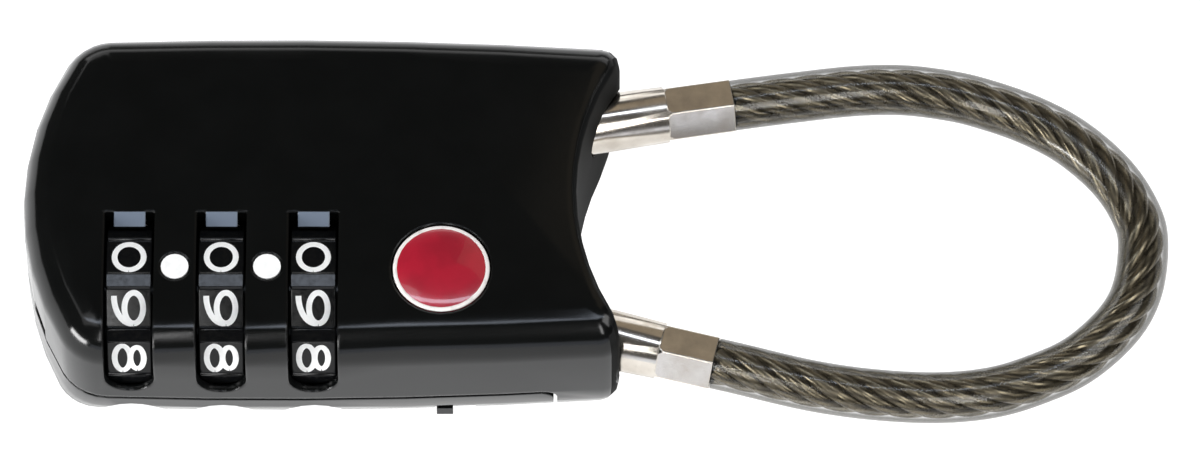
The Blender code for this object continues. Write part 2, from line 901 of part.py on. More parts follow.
def make_dials():
    """Make the three digit dials."""
    half = DIAL_WIDTH / 2
    notches = spline_outline(HUB_RADIUS + RUN_GAP, HUB_RADIUS + HUB_LUG + RUN_GAP, NOTCH_HALF_DEG)
    outer = about_axis(dial_outline(), DIAL_PHASE_DEG)
    inner = about_axis(notches)
    for i, x in enumerate(DIAL_X):
        dial = prism(f"dial_{i + 1}", outer, 0, x - half, x + half, [inner])
        paint(dial, BLACK_PLASTIC, on_axis(x))


def make_hubs():
    """Make the clutch hubs that turn with the dials."""
    x = DIAL_X[0]
    left = x - HUB_LENGTH / 2
    right = x + HUB_LENGTH / 2
    lug = DIAL_WIDTH / 2 - HUB_LUG_MARGIN
    small = SPINDLE_RADIUS + RUN_GAP
    sleeve = (
        (left, HUB_RADIUS), (right, HUB_RADIUS), (right, small), (right - WEB_THICKNESS, small),
        (right - WEB_THICKNESS, HUB_BORE), (left, HUB_BORE),
    )
    hub = turned("dial_hub_1", on_axis(0.0), X_AXIS, sleeve, HUB_SIDES, True)
    lugs = spline_outline(HUB_RADIUS - JOIN, HUB_RADIUS + HUB_LUG, HUB_LUG_HALF_DEG)
    middle = (HUB_BORE + HUB_RADIUS) / 2
    ring = [(middle, 2 * math.pi * i / HUB_SIDES) for i in range(HUB_SIDES)]
    combine(hub, prism("lugs", about_axis(lugs), 0, x - lug, x + lug, [about_axis(ring)]), "UNION")
    half = FIN_WIDTH / 2 + SEAT_GAP
    top = AXIS_Z + FIN_RADIUS + RUN_GAP
    gate = box("gate_cut", (right - 2 * WEB_THICKNESS, AXIS_Y - half, AXIS_Z + SPINDLE_RADIUS / 2),
               (right + WEB_THICKNESS, AXIS_Y + half, top))
    combine(hub, gate)
    settle(hub)
    for i in range(1, DIAL_COUNT):
        twin = copy_of(hub, f"dial_hub_{i + 1}", Vector((DIAL_PITCH * i, 0, 0)))
        paint(twin, BLACK_PLASTIC, on_axis(DIAL_X[i]))
    paint(hub, BLACK_PLASTIC, on_axis(x))


def make_spindle():
    """Make the spindle with its fins and the tongue that works the latch."""
    left = COLLAR_RIGHT_X - COLLAR_THICKNESS - SPINDLE_STUB
    profile = (
        (left, SPINDLE_RADIUS),
        (COLLAR_RIGHT_X - COLLAR_THICKNESS, SPINDLE_RADIUS),
        (COLLAR_RIGHT_X - COLLAR_THICKNESS, COLLAR_RADIUS),
        (COLLAR_RIGHT_X, COLLAR_RADIUS),
        (COLLAR_RIGHT_X, SPINDLE_RADIUS),
        (HEAD_RIGHT_X - HEAD_THICKNESS, SPINDLE_RADIUS),
        (HEAD_RIGHT_X - HEAD_THICKNESS, HEAD_RADIUS),
        (HEAD_RIGHT_X, HEAD_RADIUS),
    )
    spindle = turned("spindle", on_axis(0.0), X_AXIS, profile, 20)
    for i, x in enumerate(DIAL_X):
        start = x + HUB_LENGTH / 2 + FIN_GAP
        fin = box(f"fin_{i + 1}", (start, AXIS_Y - FIN_WIDTH / 2, AXIS_Z),
                  (start + FIN_THICKNESS, AXIS_Y + FIN_WIDTH / 2, AXIS_Z + FIN_RADIUS))
        combine(spindle, fin, "UNION")
    low, high = tongue_box()
    combine(spindle, box("tongue", low, high), "UNION")
    pin = drive_pin_place()
    combine(spindle, rod("drive_pin", (pin.x, pin.y, pin.z - DRIVE_PIN_DROP),
                         (pin.x, pin.y, pin.z + TONGUE_THICKNESS / 2), DRIVE_PIN_RADIUS, 12), "UNION")
    settle(spindle)
    paint(spindle, STEEL, on_axis(0.0))


def latch_top_z():
    """Return the height of the latch plate's upper side.

    Returns:
        The height.
    """
    return AXIS_Z + LATCH_THICKNESS / 2


def tongue_box():
    """Find the corners of the tongue on the spindle's head.

    Returns:
        The lower and the upper corner.
    """
    z = latch_top_z() + RUN_GAP
    y = AXIS_Y + HEAD_RADIUS - TONGUE_WIDTH - TONGUE_INSET
    low = (HEAD_RIGHT_X - HEAD_THICKNESS / 2, y, z)
    high = (HEAD_RIGHT_X + TONGUE_LENGTH, y + TONGUE_WIDTH, z + TONGUE_THICKNESS)
    return low, high


def drive_pin_place():
    """Find where the drive pin stands under the tongue.

    Returns:
        The point at the tongue's lower side.
    """
    low, high = tongue_box()
    return Vector((high[0] - DRIVE_PIN_RADIUS - SEAT_GAP, (low[1] + high[1]) / 2, low[2]))


def coil(name, start, direction, length, radius):
    """Wind one round-wire spring.

    Args:
        name: Name of the object.
        start: Middle of the first coil.
        direction: Unit vector along the spring.
        length: Length between the wire's ends.
        radius: Radius to the middle of the wire.
    """
    place = stand(start, direction)
    steps = SPRING_TURNS * TURN_POINTS
    path = []
    for i in range(steps + 1):
        angle = 2 * math.pi * i / TURN_POINTS
        path.append(place @ Vector((radius * math.cos(angle), radius * math.sin(angle), length * i / steps)))
    paint(tube(name, path, WIRE_RADIUS, 1), SPRING_STEEL)


def make_springs():
    """Make the two coil springs and the leaf that clicks the dials."""
    first = CHAMBER_LEFT_X + SEAT_GAP + WIRE_RADIUS
    last = COLLAR_RIGHT_X - COLLAR_THICKNESS - SEAT_GAP / 2 - WIRE_RADIUS
    radius = (COLLAR_RADIUS + SPINDLE_RADIUS) / 2 + SEAT_GAP / 2
    coil("spindle_spring", on_axis(first), X_AXIS, last - first, radius)
    seat = Vector((latch_middle_x(), latch_top_y() + SEAT_GAP + WIRE_RADIUS, AXIS_Z))
    coil("latch_spring", seat, Vector((0, 1, 0)), LATCH_SPRING_LENGTH, LATCH_SPRING_RADIUS - WIRE_RADIUS)
    upper = []
    lower = []
    span = DIAL_PITCH * DIAL_COUNT
    start = DIAL_X[0] - DIAL_PITCH / 2
    count = CLICK_STEPS * DIAL_COUNT
    for i in range(count + 1):
        x = start + span * i / count
        wave = CLICK_WAVE * (0.5 + 0.5 * math.cos(2 * math.pi * (x - start) / DIAL_PITCH))
        lower.append((x, CLICK_FOOT_Y + wave))
        upper.append((x, CLICK_FOOT_Y + wave + CLICK_THICKNESS))
    leaf = prism("click_spring", lower + upper[::-1], 2, AXIS_Z - CLICK_WIDTH / 2, AXIS_Z + CLICK_WIDTH / 2)
    paint(leaf, SPRING_STEEL)


def free_line_y(x):
    """Return the Y of the free ferrule's axis at one X.

    Args:
        x: Place along the length.

    Returns:
        The place across.
    """
    return FREE_POINT.y + (x - FREE_POINT.x) * DIRECTION_DOWN.y / DIRECTION_DOWN.x


def nose_bottom_y():
    """Return the lowest Y of the latch's nose when it is drawn back.

    Returns:
        The place across.
    """
    return free_line_y(LATCH_NOSE_X) + TIP_RADIUS / DIRECTION_DOWN.x + LATCH_NOSE_GAP


def latch_notch():
    """Find the gap in the latch that the key's tail turns in.

    Returns:
        The lower and the upper Y.
    """
    return (KEY_Y - TAIL_HALF_HEIGHT - SEAT_GAP - LATCH_NOTCH_PLAY,
            KEY_Y + TAIL_HALF_HEIGHT + SEAT_GAP)


def latch_top_y():
    """Return the top of the latch when it is drawn back.

    Returns:
        The place across.
    """
    return latch_notch()[1] + LATCH_ARM


def latch_middle_x():
    """Return the middle of the latch along the length.

    Returns:
        The place along the length.
    """
    return LATCH_RIGHT_X - LATCH_WIDTH / 2


def make_latch():
    """Make the latch plate with its nose, cam edge and notch for the key's tail."""
    left = LATCH_RIGHT_X - LATCH_WIDTH
    nose_left = LATCH_NOSE_X - LATCH_NOSE_WIDTH / 2
    nose_right = LATCH_NOSE_X + LATCH_NOSE_WIDTH / 2
    slope = LATCH_LIFT / SPINDLE_TRAVEL
    pin = drive_pin_place()
    clear = (DRIVE_PIN_RADIUS + SEAT_GAP) * math.sqrt(1 + slope ** 2)
    notch = latch_notch()
    spine = LATCH_RIGHT_X - LATCH_SPINE

    def cam(x):
        """Return the cam edge's Y at one X."""
        return pin.y + clear - slope * (x - pin.x)

    shoulder = nose_bottom_y() + LATCH_NOSE_LENGTH
    outline = [
        (nose_left, nose_bottom_y()), (nose_right, nose_bottom_y()),
        (nose_right, shoulder), (LATCH_RIGHT_X, shoulder + LATCH_ARM / 2),
        (LATCH_RIGHT_X, latch_top_y()), (left, latch_top_y()), (left, notch[1]),
        (spine, notch[1]), (spine, notch[0]), (left, notch[0]), (left, cam(left)),
        (nose_left, cam(nose_left)),
    ]
    latch = prism("latch", outline, 2, AXIS_Z - LATCH_THICKNESS / 2, latch_top_z())
    paint(latch, STEEL, Vector((latch_middle_x(), pin.y, AXIS_Z)))


def make_key_cylinder():
    """Make the key barrel, the plug, its wafers, its clip and the tail that reaches the latch."""
    barrel_profile = (
        (BARREL_LEFT_X, BARREL_RADIUS), (BARREL_RIGHT_X, BARREL_RADIUS),
        (BARREL_RIGHT_X, PLUG_RADIUS + PLUG_RUN_GAP), (BARREL_LEFT_X, PLUG_RADIUS + PLUG_RUN_GAP),
    )
    paint(turned("key_cylinder", on_key(0.0), X_AXIS, barrel_profile, 24, True), BRASS)
    neck = BARREL_RIGHT_X + PLUG_RUN_GAP
    flange = neck + PLUG_NECK_LENGTH
    end = flange + PLUG_FLANGE
    plug_profile = (
        (BARREL_LEFT_X - PLUG_NOSE, PLUG_RADIUS), (neck, PLUG_RADIUS), (neck, PLUG_NECK_RADIUS),
        (flange, PLUG_NECK_RADIUS), (flange, PLUG_FLANGE_RADIUS), (end, PLUG_FLANGE_RADIUS),
    )
    plug = turned("key_plug", on_key(0.0), X_AXIS, plug_profile, 20)
    face = BARREL_LEFT_X - PLUG_NOSE
    last = face + WAFER_FIRST + WAFER_PITCH * WAFER_COUNT
    combine(plug, box("keyway_cut", (face - OVERCUT, KEY_Y - KEYWAY_WIDTH / 2, AXIS_Z - KEYWAY_HEIGHT / 2),
                      (last, KEY_Y + KEYWAY_WIDTH / 2, AXIS_Z + KEYWAY_HEIGHT / 2)))
    for i in range(WAFER_COUNT):
        x = face + WAFER_FIRST + WAFER_PITCH * i
        make_wafer(i, x, plug)
    tail_start = neck + SEAT_GAP
    half = TAIL_THICKNESS / 2 + PLUG_RUN_GAP
    deep = TAIL_TONGUE_HALF + PLUG_RUN_GAP
    combine(plug, box("tail_cut", (tail_start - SEAT_GAP / 2, KEY_Y - half, AXIS_Z - deep),
                      (end + OVERCUT, KEY_Y + half, AXIS_Z + deep)))
    settle(plug)
    paint(plug, BRASS, on_key(0.0))
    make_tail(tail_start, end + SEAT_GAP)
    middle = neck + PLUG_NECK_LENGTH / 2
    clip_profile = (
        (middle - CLIP_THICKNESS / 2, CLIP_RADIUS), (middle + CLIP_THICKNESS / 2, CLIP_RADIUS),
        (middle + CLIP_THICKNESS / 2, PLUG_NECK_RADIUS + PLUG_RUN_GAP),
        (middle - CLIP_THICKNESS / 2, PLUG_NECK_RADIUS + PLUG_RUN_GAP),
    )
    clip = turned("plug_clip", on_key(0.0), X_AXIS, clip_profile, 20, True)
    combine(clip, box("clip_cut", (middle - OVERCUT, KEY_Y, AXIS_Z - CLIP_MOUTH),
                      (middle + OVERCUT, KEY_Y + 2 * CLIP_RADIUS, AXIS_Z + CLIP_MOUTH)))
    settle(clip)
    paint(clip, SPRING_STEEL, on_key(0.0))


def rectangle(first, second, width, height):
    """Draw a rectangle.

    Args:
        first: Middle on the first axis.
        second: Middle on the second axis.
        width: Size on the first axis.
        height: Size on the second axis.

    Returns:
        Its corners.
    """
    a = width / 2
    b = height / 2
    return [
        (first - a, second - b), (first + a, second - b),
        (first + a, second + b), (first - a, second + b),
    ]


def make_wafer(index, x, plug):
    """Make one wafer and its slot in the plug.

    Args:
        index: Number of the wafer, from nought.
        x: Middle of the wafer along the length.
        plug: The plug that gets the slot.
    """
    half = WAFER_THICKNESS / 2
    slot = half + WAFER_GAP
    wide = WAFER_WIDTH / 2 + WAFER_GAP
    tall = PLUG_RADIUS + OVERCUT
    combine(plug, box(f"wafer_cut_{index + 1}", (x - slot, KEY_Y - wide, AXIS_Z - tall),
                      (x + slot, KEY_Y + wide, AXIS_Z + tall)))
    outer = rectangle(KEY_Y, AXIS_Z, WAFER_WIDTH, WAFER_HEIGHT)
    slit = rectangle(KEY_Y, AXIS_Z, KEYWAY_WIDTH + 2 * WAFER_GAP, WAFER_SLOT_HEIGHT)
    wafer = prism(f"wafer_{index + 1}", outer, 0, x - half, x + half, [slit])
    paint(wafer, BRASS, on_key(0.0))


def make_tail(start, shoulder):
    """Make the flat tail that turns with the key plug.

    Args:
        start: Left end of the tongue in the plug.
        shoulder: Where the tongue widens to the blade.
    """
    end = tail_end_x()
    outline = [
        (start, -TAIL_TONGUE_HALF), (shoulder, -TAIL_TONGUE_HALF), (shoulder, -TAIL_HALF_HEIGHT),
        (end, -TAIL_HALF_HEIGHT), (end, TAIL_HALF_HEIGHT), (shoulder, TAIL_HALF_HEIGHT),
        (shoulder, TAIL_TONGUE_HALF), (start, TAIL_TONGUE_HALF),
    ]
    shifted = [(x, AXIS_Z + z) for x, z in outline]
    tail = prism("key_tail", shifted, 1, KEY_Y - TAIL_THICKNESS / 2, KEY_Y + TAIL_THICKNESS / 2)
    paint(tail, STEEL, on_key(0.0))


def tail_end_x():
    """Return the right end of the key's tail.

    Returns:
        The place along the length.
    """
    return LATCH_RIGHT_X - LATCH_SPINE - 2 * SEAT_GAP


def make_cover_pins():
    """Make the press pins that hold the two halves together."""
    half = COVER_PIN_LENGTH / 2
    for i, (x, y) in enumerate(COVER_PINS):
        pin = rod(f"cover_pin_{i + 1}", (x, y, PARTING_Z - half), (x, y, PARTING_Z + half),
                  COVER_PIN_RADIUS, 12)
        paint(pin, STEEL)


def captive_pin_place():
    """Find the pin that crosses the captive ferrule's groove.

    Returns:
        The point at the height of the dial axis.
    """
    along = -CAPTIVE_DEPTH + CAPTIVE_GROOVE_START + CAPTIVE_GROOVE_WIDTH / 2
    middle = CAPTIVE_POINT + DIRECTION_UP * along
    reach = CAPTIVE_GROOVE_RADIUS + SEAT_GAP + CAPTIVE_PIN_RADIUS
    square = Vector((-DIRECTION_UP.y, DIRECTION_UP.x, 0)).normalized()
    return middle + square * reach


def crimped(name, point, direction, profile, bore_start, end, crimp_start):
    """Make a ferrule with a blind bore for the rope and a six-sided crimp.

    Args:
        name: Name of the object.
        point: Where its axis leaves the housing.
        direction: Unit vector out of the housing.
        profile: Outside profile from the inner end to the outer end.
        bore_start: Bottom of the rope bore along the axis.
        end: Outer end along the axis.
        crimp_start: Where the crimped part begins.

    Returns:
        The linked object.
    """
    bore = ROPE_RADIUS + ROPE_BORE_GAP
    full = tuple(profile) + ((end, bore), (bore_start, bore))
    ferrule = turned(name, point, direction, full, 20)
    inner = profile[0][0] - OVERCUT
    keep = rod(f"{name}_round", point + direction * inner, point + direction * crimp_start,
               FERRULE_RADIUS + OVERCUT, 20)
    jaw = rod(f"{name}_jaw", point + direction * (crimp_start - JOIN), point + direction * (end + OVERCUT),
              CRIMP_CORNER, CRIMP_SIDES, VIEW)
    combine(keep, jaw, "UNION")
    settle(keep)
    combine(ferrule, keep, "INTERSECT")
    settle(ferrule)
    return ferrule


def make_ferrules():
    """Make both ends of the cable, the pin of the captive one and the bush of the free one."""
    groove = -CAPTIVE_DEPTH + CAPTIVE_GROOVE_START
    captive = (
        (-CAPTIVE_DEPTH, FERRULE_RADIUS), (groove, FERRULE_RADIUS), (groove, CAPTIVE_GROOVE_RADIUS),
        (groove + CAPTIVE_GROOVE_WIDTH, CAPTIVE_GROOVE_RADIUS),
        (groove + CAPTIVE_GROOVE_WIDTH, FERRULE_RADIUS), (0.0, FERRULE_RADIUS),
        (CAPTIVE_ROUND, TAPER_RADIUS),
        (CAPTIVE_ROUND + CRIMP_STEP, CRIMP_CORNER), (CAPTIVE_LENGTH, CRIMP_CORNER),
    )
    upper = crimped("captive_ferrule", CAPTIVE_POINT, DIRECTION_UP, captive,
                    CAPTIVE_LENGTH - ROPE_INSERT - SEAT_GAP, CAPTIVE_LENGTH, CAPTIVE_ROUND)
    paint(upper, NICKEL)
    place = captive_pin_place()
    half = COVER_PIN_LENGTH / 2
    pin = rod("captive_pin", (place.x, place.y, AXIS_Z - half), (place.x, place.y, AXIS_Z + half),
              CAPTIVE_PIN_RADIUS, 12)
    paint(pin, STEEL)
    cut = -FREE_DEPTH + TIP_GROOVE_START
    free = (
        (-FREE_DEPTH, TIP_RADIUS - TIP_CHAMFER), (-FREE_DEPTH + TIP_CHAMFER, TIP_RADIUS),
        (cut, TIP_RADIUS), (cut, TIP_GROOVE_RADIUS), (cut + TIP_GROOVE_WIDTH, TIP_GROOVE_RADIUS),
        (cut + TIP_GROOVE_WIDTH, TIP_RADIUS), (-FREE_SHOULDER - SHOULDER_CHAMFER, TIP_RADIUS),
        (-FREE_SHOULDER, FERRULE_RADIUS), (0.0, FERRULE_RADIUS),
        (FREE_ROUND, TAPER_RADIUS), (FREE_ROUND + CRIMP_STEP, CRIMP_CORNER), (FREE_LENGTH, CRIMP_CORNER),
    )
    lower = crimped("free_ferrule", FREE_POINT, DIRECTION_DOWN, free,
                    FREE_LENGTH - ROPE_INSERT - SEAT_GAP, FREE_LENGTH, FREE_ROUND)
    paint(lower, NICKEL, FREE_POINT)
    inner = FERRULE_RADIUS + SEAT_GAP
    bush = (
        (BUSH_STICKOUT - BUSH_LENGTH, inner + BUSH_WALL), (BUSH_STICKOUT, inner + BUSH_WALL),
        (BUSH_STICKOUT, inner), (BUSH_STICKOUT - BUSH_LENGTH, inner),
    )
    collar = turned("socket_bush", FREE_POINT, DIRECTION_DOWN, bush, 24, True)
    combine(collar, body_solid("bush_trim"), "INTERSECT")
    settle(collar)
    paint(collar, BLACK_PAINT)


def cable_path():
    """Draw the cable's middle line between the two ferrules.

    Returns:
        The points from the captive ferrule to the free one.
    """
    points = [CAPTIVE_POINT + DIRECTION_UP * CAPTIVE_LENGTH]
    points.append(CAPTIVE_POINT + DIRECTION_UP * (CAPTIVE_LENGTH + CABLE_LEAD))
    for x, y in CABLE_ROUTE:
        along = x * MM - CAPTIVE_POINT.x
        points.append(Vector((x * MM, y * MM, AXIS_Z - DROOP * along)))
    points.append(FREE_POINT + DIRECTION_DOWN * (FREE_LENGTH + CABLE_LEAD))
    points.append(FREE_POINT + DIRECTION_DOWN * FREE_LENGTH)
    return points


def smooth(points, steps):
    """Draw a smooth line through points.

    Args:
        points: The points.
        steps: Chords between two points.

    Returns:
        The points of the smooth line.
    """
    line = []
    for i in range(len(points) - 1):
        before = points[max(i - 1, 0)]
        first = points[i]
        second = points[i + 1]
        after = points[min(i + 2, len(points) - 1)]
        for k in range(steps):
            t = k / steps
            line.append(0.5 * ((2 * first) + (second - before) * t
                               + (2 * before - 5 * first + 4 * second - after) * t * t
                               + (3 * first - before - 3 * second + after) * t * t * t))
    line.append(points[-1])
    return line


def make_cable():
    """Make the rope and the clear jacket over it."""
    ends = cable_path()
    line = smooth(ends, CABLE_STEPS)
    rope = [CAPTIVE_POINT + DIRECTION_UP * (CAPTIVE_LENGTH - ROPE_INSERT)] + line
    rope.append(FREE_POINT + DIRECTION_DOWN * (FREE_LENGTH - ROPE_INSERT))
    paint(tube("cable_rope", rope, ROPE_RADIUS, 1), STEEL)
    jacket = list(line)
    jacket[0] = jacket[0] + DIRECTION_UP * JACKET_END_GAP
    jacket[-1] = jacket[-1] + DIRECTION_DOWN * JACKET_END_GAP
    sleeve = tube("cable_jacket", jacket, JACKET_RADIUS, 3)
    bore = [line[0] - DIRECTION_UP * OVERCUT] + line + [line[-1] - DIRECTION_DOWN * OVERCUT]
    combine(sleeve, tube("jacket_bore", bore, ROPE_RADIUS + JACKET_BORE_GAP, 3))
    settle(sleeve)
    paint(sleeve, CLEAR_PVC)


def make_marks():
    """Make the index dots and the badge inlay."""
    z = THICKNESS
    for i in range(DIAL_COUNT - 1):
        x = (DIAL_X[i] + DIAL_X[i + 1]) / 2
        y = AXIS_Y - DOT_DROP
        dot = rod(f"index_dot_{i + 1}", (x, y, z - DOT_DEPTH), (x, y, z), DOT_RADIUS, 20)
        paint(dot, WHITE_INK)
    base = z - BADGE_RECESS + SHOW_GAP
    profile = [(base, BADGE_RADIUS), (base + BADGE_THICKNESS, BADGE_RADIUS)]
    for step in range(1, DOME_STEPS + 1):
        angle = math.radians(DOME_STEP_DEG * step)
        height = BADGE_THICKNESS + BADGE_DOME * math.sin(angle)
        profile.append((base + height, BADGE_RADIUS * math.cos(angle)))
    badge = turned("badge_inlay", Vector((BADGE_X, BADGE_Y, 0)), Vector((0, 0, 1)), profile, 28)
    paint(badge, RED_ENAMEL)


def reset_surface_y():
    """Return the Y of the back cover's rounded side at the reset tab.

    Returns:
        The place across.
    """
    z = AXIS_Z - RESET_DROP
    drop = (RESET_X - SIDE_PEAK_X) ** 2 / (2 * SIDE_RADIUS)
    return -(BODY_WIDTH / 2 - drop - edge_inset(z, FRONT_ROUND, BACK_ROUND_SIDE))


def make_reset_tab():
    """Make the slide that frees the hubs for a new code."""
    z = AXIS_Z - RESET_DROP
    surface = reset_surface_y()
    wide = RESET_TAB_WIDTH / 2
    long = RESET_PLATE_LENGTH / 2
    inner = surface + RESET_WALL
    outline = [
        (RESET_X - wide, surface - RESET_STICKOUT), (RESET_X + wide, surface - RESET_STICKOUT),
        (RESET_X + wide, inner), (RESET_X + long, inner), (RESET_X + long, inner + RESET_PLATE_WIDTH),
        (RESET_X - long, inner + RESET_PLATE_WIDTH), (RESET_X - long, inner), (RESET_X - wide, inner),
    ]
    half = RESET_THICKNESS / 2
    tab = prism("reset_tab", outline, 2, z - half, z + half)
    paint(tab, BLACK_PLASTIC, Vector((RESET_X, surface, z)))


def shared_cutters():
    """Make the spaces that both halves of the housing leave for the mechanism.

    Returns:
        The cutters.
    """
    tools = []
    for i, x in enumerate(DIAL_X):
        half = BAY_WIDTH / 2
        tools.append(rod(f"bay_cut_{i + 1}", on_axis(x - half), on_axis(x + half), BAY_RADIUS, 32))
    tools.append(rod("bearing_cut", on_axis(HUB_LEFT_X - SEAT_GAP), on_axis(HUB_RIGHT_X + SEAT_GAP),
                     BEARING_RADIUS, 24))
    tools.append(rod("chamber_cut", on_axis(CHAMBER_LEFT_X), on_axis(HUB_LEFT_X),
                     COLLAR_RADIUS + RUN_GAP, 16))
    tools.append(rod("head_cut", on_axis(HUB_RIGHT_X), on_axis(HEAD_RIGHT_X + SEAT_GAP),
                     max(HEAD_RADIUS, FIN_RADIUS) + RUN_GAP, 16))
    low, high = tongue_box()
    tools.append(box("tongue_cut", (low[0] - SPINDLE_TRAVEL, low[1] - RUN_GAP, AXIS_Z - LATCH_THICKNESS / 2),
                     (high[0] + RUN_GAP, high[1] + RUN_GAP, high[2] + RUN_GAP)))
    left = LATCH_RIGHT_X - LATCH_WIDTH
    tools.append(box("latch_cut", (left - SEAT_GAP, nose_bottom_y() - 2 * LATCH_LIFT,
                                   AXIS_Z - LATCH_THICKNESS / 2 - SEAT_GAP),
                     (LATCH_RIGHT_X + SEAT_GAP, latch_top_y() + SEAT_GAP, latch_top_z() + SEAT_GAP)))
    spring_top = latch_top_y() + 2 * SEAT_GAP + 2 * WIRE_RADIUS + LATCH_SPRING_LENGTH
    tools.append(rod("latch_spring_cut", (latch_middle_x(), latch_top_y(), AXIS_Z),
                     (latch_middle_x(), spring_top, AXIS_Z), LATCH_SPRING_RADIUS + SEAT_GAP, 16))
    tools.append(rod("barrel_cut", on_key(BARREL_LEFT_X - SEAT_GAP),
                     on_key(BARREL_RIGHT_X + PLUG_NECK_LENGTH + PLUG_FLANGE + 2 * SEAT_GAP),
                     BARREL_RADIUS + SEAT_GAP, 24))
    tools.append(rod("key_hole_cut", on_key(LEFT_X - OVERCUT), on_key(BARREL_LEFT_X + OVERCUT),
                     PLUG_RADIUS + SEAT_GAP, 24))
    tail_radius = math.hypot(TAIL_HALF_HEIGHT, TAIL_THICKNESS / 2) + RUN_GAP
    tools.append(rod("tail_bore_cut", on_key(BARREL_RIGHT_X), on_key(tail_end_x() + SEAT_GAP),
                     tail_radius, 14))
    tools.append(box("click_cut", (DIAL_X[0] - DIAL_PITCH / 2 - SEAT_GAP, CLICK_FOOT_Y - SEAT_GAP,
                                   AXIS_Z - CLICK_WIDTH / 2 - SEAT_GAP),
                     (DIAL_X[-1] + DIAL_PITCH / 2 + SEAT_GAP, CLICK_TOP_Y + SEAT_GAP,
                      AXIS_Z + CLICK_WIDTH / 2 + SEAT_GAP)))
    half = COVER_PIN_LENGTH / 2 + SEAT_GAP
    for i, (x, y) in enumerate(COVER_PINS):
        tools.append(rod(f"pin_cut_{i + 1}", (x, y, PARTING_Z - half), (x, y, PARTING_Z + half),
                         COVER_PIN_RADIUS + SEAT_GAP, 12))
    place = captive_pin_place()
    tools.append(rod("captive_pin_cut", (place.x, place.y, AXIS_Z - half), (place.x, place.y, AXIS_Z + half),
                     CAPTIVE_PIN_RADIUS + SEAT_GAP, 12))
    tools.append(rod("captive_bore_cut", CAPTIVE_POINT - DIRECTION_UP * (CAPTIVE_DEPTH + SEAT_GAP),
                     CAPTIVE_POINT + DIRECTION_UP * BORE_REACH, FERRULE_RADIUS + SEAT_GAP, 20))
    shoulder = FREE_SHOULDER + SHOULDER_CHAMFER + SEAT_GAP
    tools.append(rod("free_bore_cut", FREE_POINT - DIRECTION_DOWN * shoulder,
                     FREE_POINT + DIRECTION_DOWN * BORE_REACH, FERRULE_RADIUS + SEAT_GAP, 20))
    tools.append(rod("tip_bore_cut", FREE_POINT - DIRECTION_DOWN * (FREE_DEPTH + RUN_GAP),
                     FREE_POINT, TIP_RADIUS + RUN_GAP, 16))
    seat = FERRULE_RADIUS + SEAT_GAP + BUSH_WALL + SEAT_GAP
    tools.append(rod("bush_seat_cut", FREE_POINT + DIRECTION_DOWN * (BUSH_STICKOUT - BUSH_LENGTH - SEAT_GAP),
                     FREE_POINT + DIRECTION_DOWN * BORE_REACH, seat, 24))
    tools.append(box("end_slot_cut", (LEFT_X - OVERCUT, SLOT_Y - SLOT_WIDTH / 2, AXIS_Z - SLOT_HEIGHT / 2),
                     (CHAMBER_LEFT_X + SLOT_OVERLAP, SLOT_Y + SLOT_WIDTH / 2, AXIS_Z + SLOT_HEIGHT / 2)))
    return tools


def window_cutters():
    """Make the openings of the front housing: dial windows, dot holes and badge recess.

    Returns:
        The cutters.
    """
    tools = []
    half = BAY_WIDTH / 2
    inner = half - LEVEL_GAP
    edge_y = -BODY_WIDTH / 2
    below = edge_y - OVERCUT
    above = THICKNESS + OVERCUT
    foot_z = AXIS_Z + WINDOW_FOOT + half
    top_y = AXIS_Y + WINDOW_TOP
    end_y = top_y + RAMP_RUN
    slope = RAMP_DEPTH / RAMP_RUN
    start_y = top_y - JOIN
    deep = THICKNESS - RAMP_DEPTH - slope * JOIN
    ramp = [(start_y, above), (start_y, deep), (end_y, THICKNESS), (end_y, above)]
    tongue = RAMP_WIDTH / 2
    for i, x in enumerate(DIAL_X):
        plan = [
            (x - inner, below), (x + inner, below), (x + inner, end_y), (x + tongue, end_y),
            (x + tongue, top_y), (x - tongue, top_y), (x - tongue, end_y), (x - inner, end_y),
        ]
        tools.append(prism(f"window_cut_{i + 1}", plan, 2, foot_z, above))
        tools.append(prism(f"ramp_cut_{i + 1}", ramp, 0, x - tongue - JOIN, x + tongue + JOIN))
        tools.append(rod(f"foot_cut_{i + 1}", (x, below, foot_z), (x, edge_y + SIDE_WALL + OVERCUT, foot_z),
                         inner, 20))
    for i in range(DIAL_COUNT - 1):
        x = (DIAL_X[i] + DIAL_X[i + 1]) / 2
        y = AXIS_Y - DOT_DROP
        tools.append(rod(f"dot_cut_{i + 1}", (x, y, THICKNESS - DOT_DEPTH - SHOW_GAP), (x, y, above),
                         DOT_RADIUS + SHOW_GAP, 20))
    tools.append(rod("badge_cut", (BADGE_X, BADGE_Y, THICKNESS - BADGE_RECESS), (BADGE_X, BADGE_Y, above),
                     BADGE_RADIUS + SEAT_GAP, 28))
    return tools


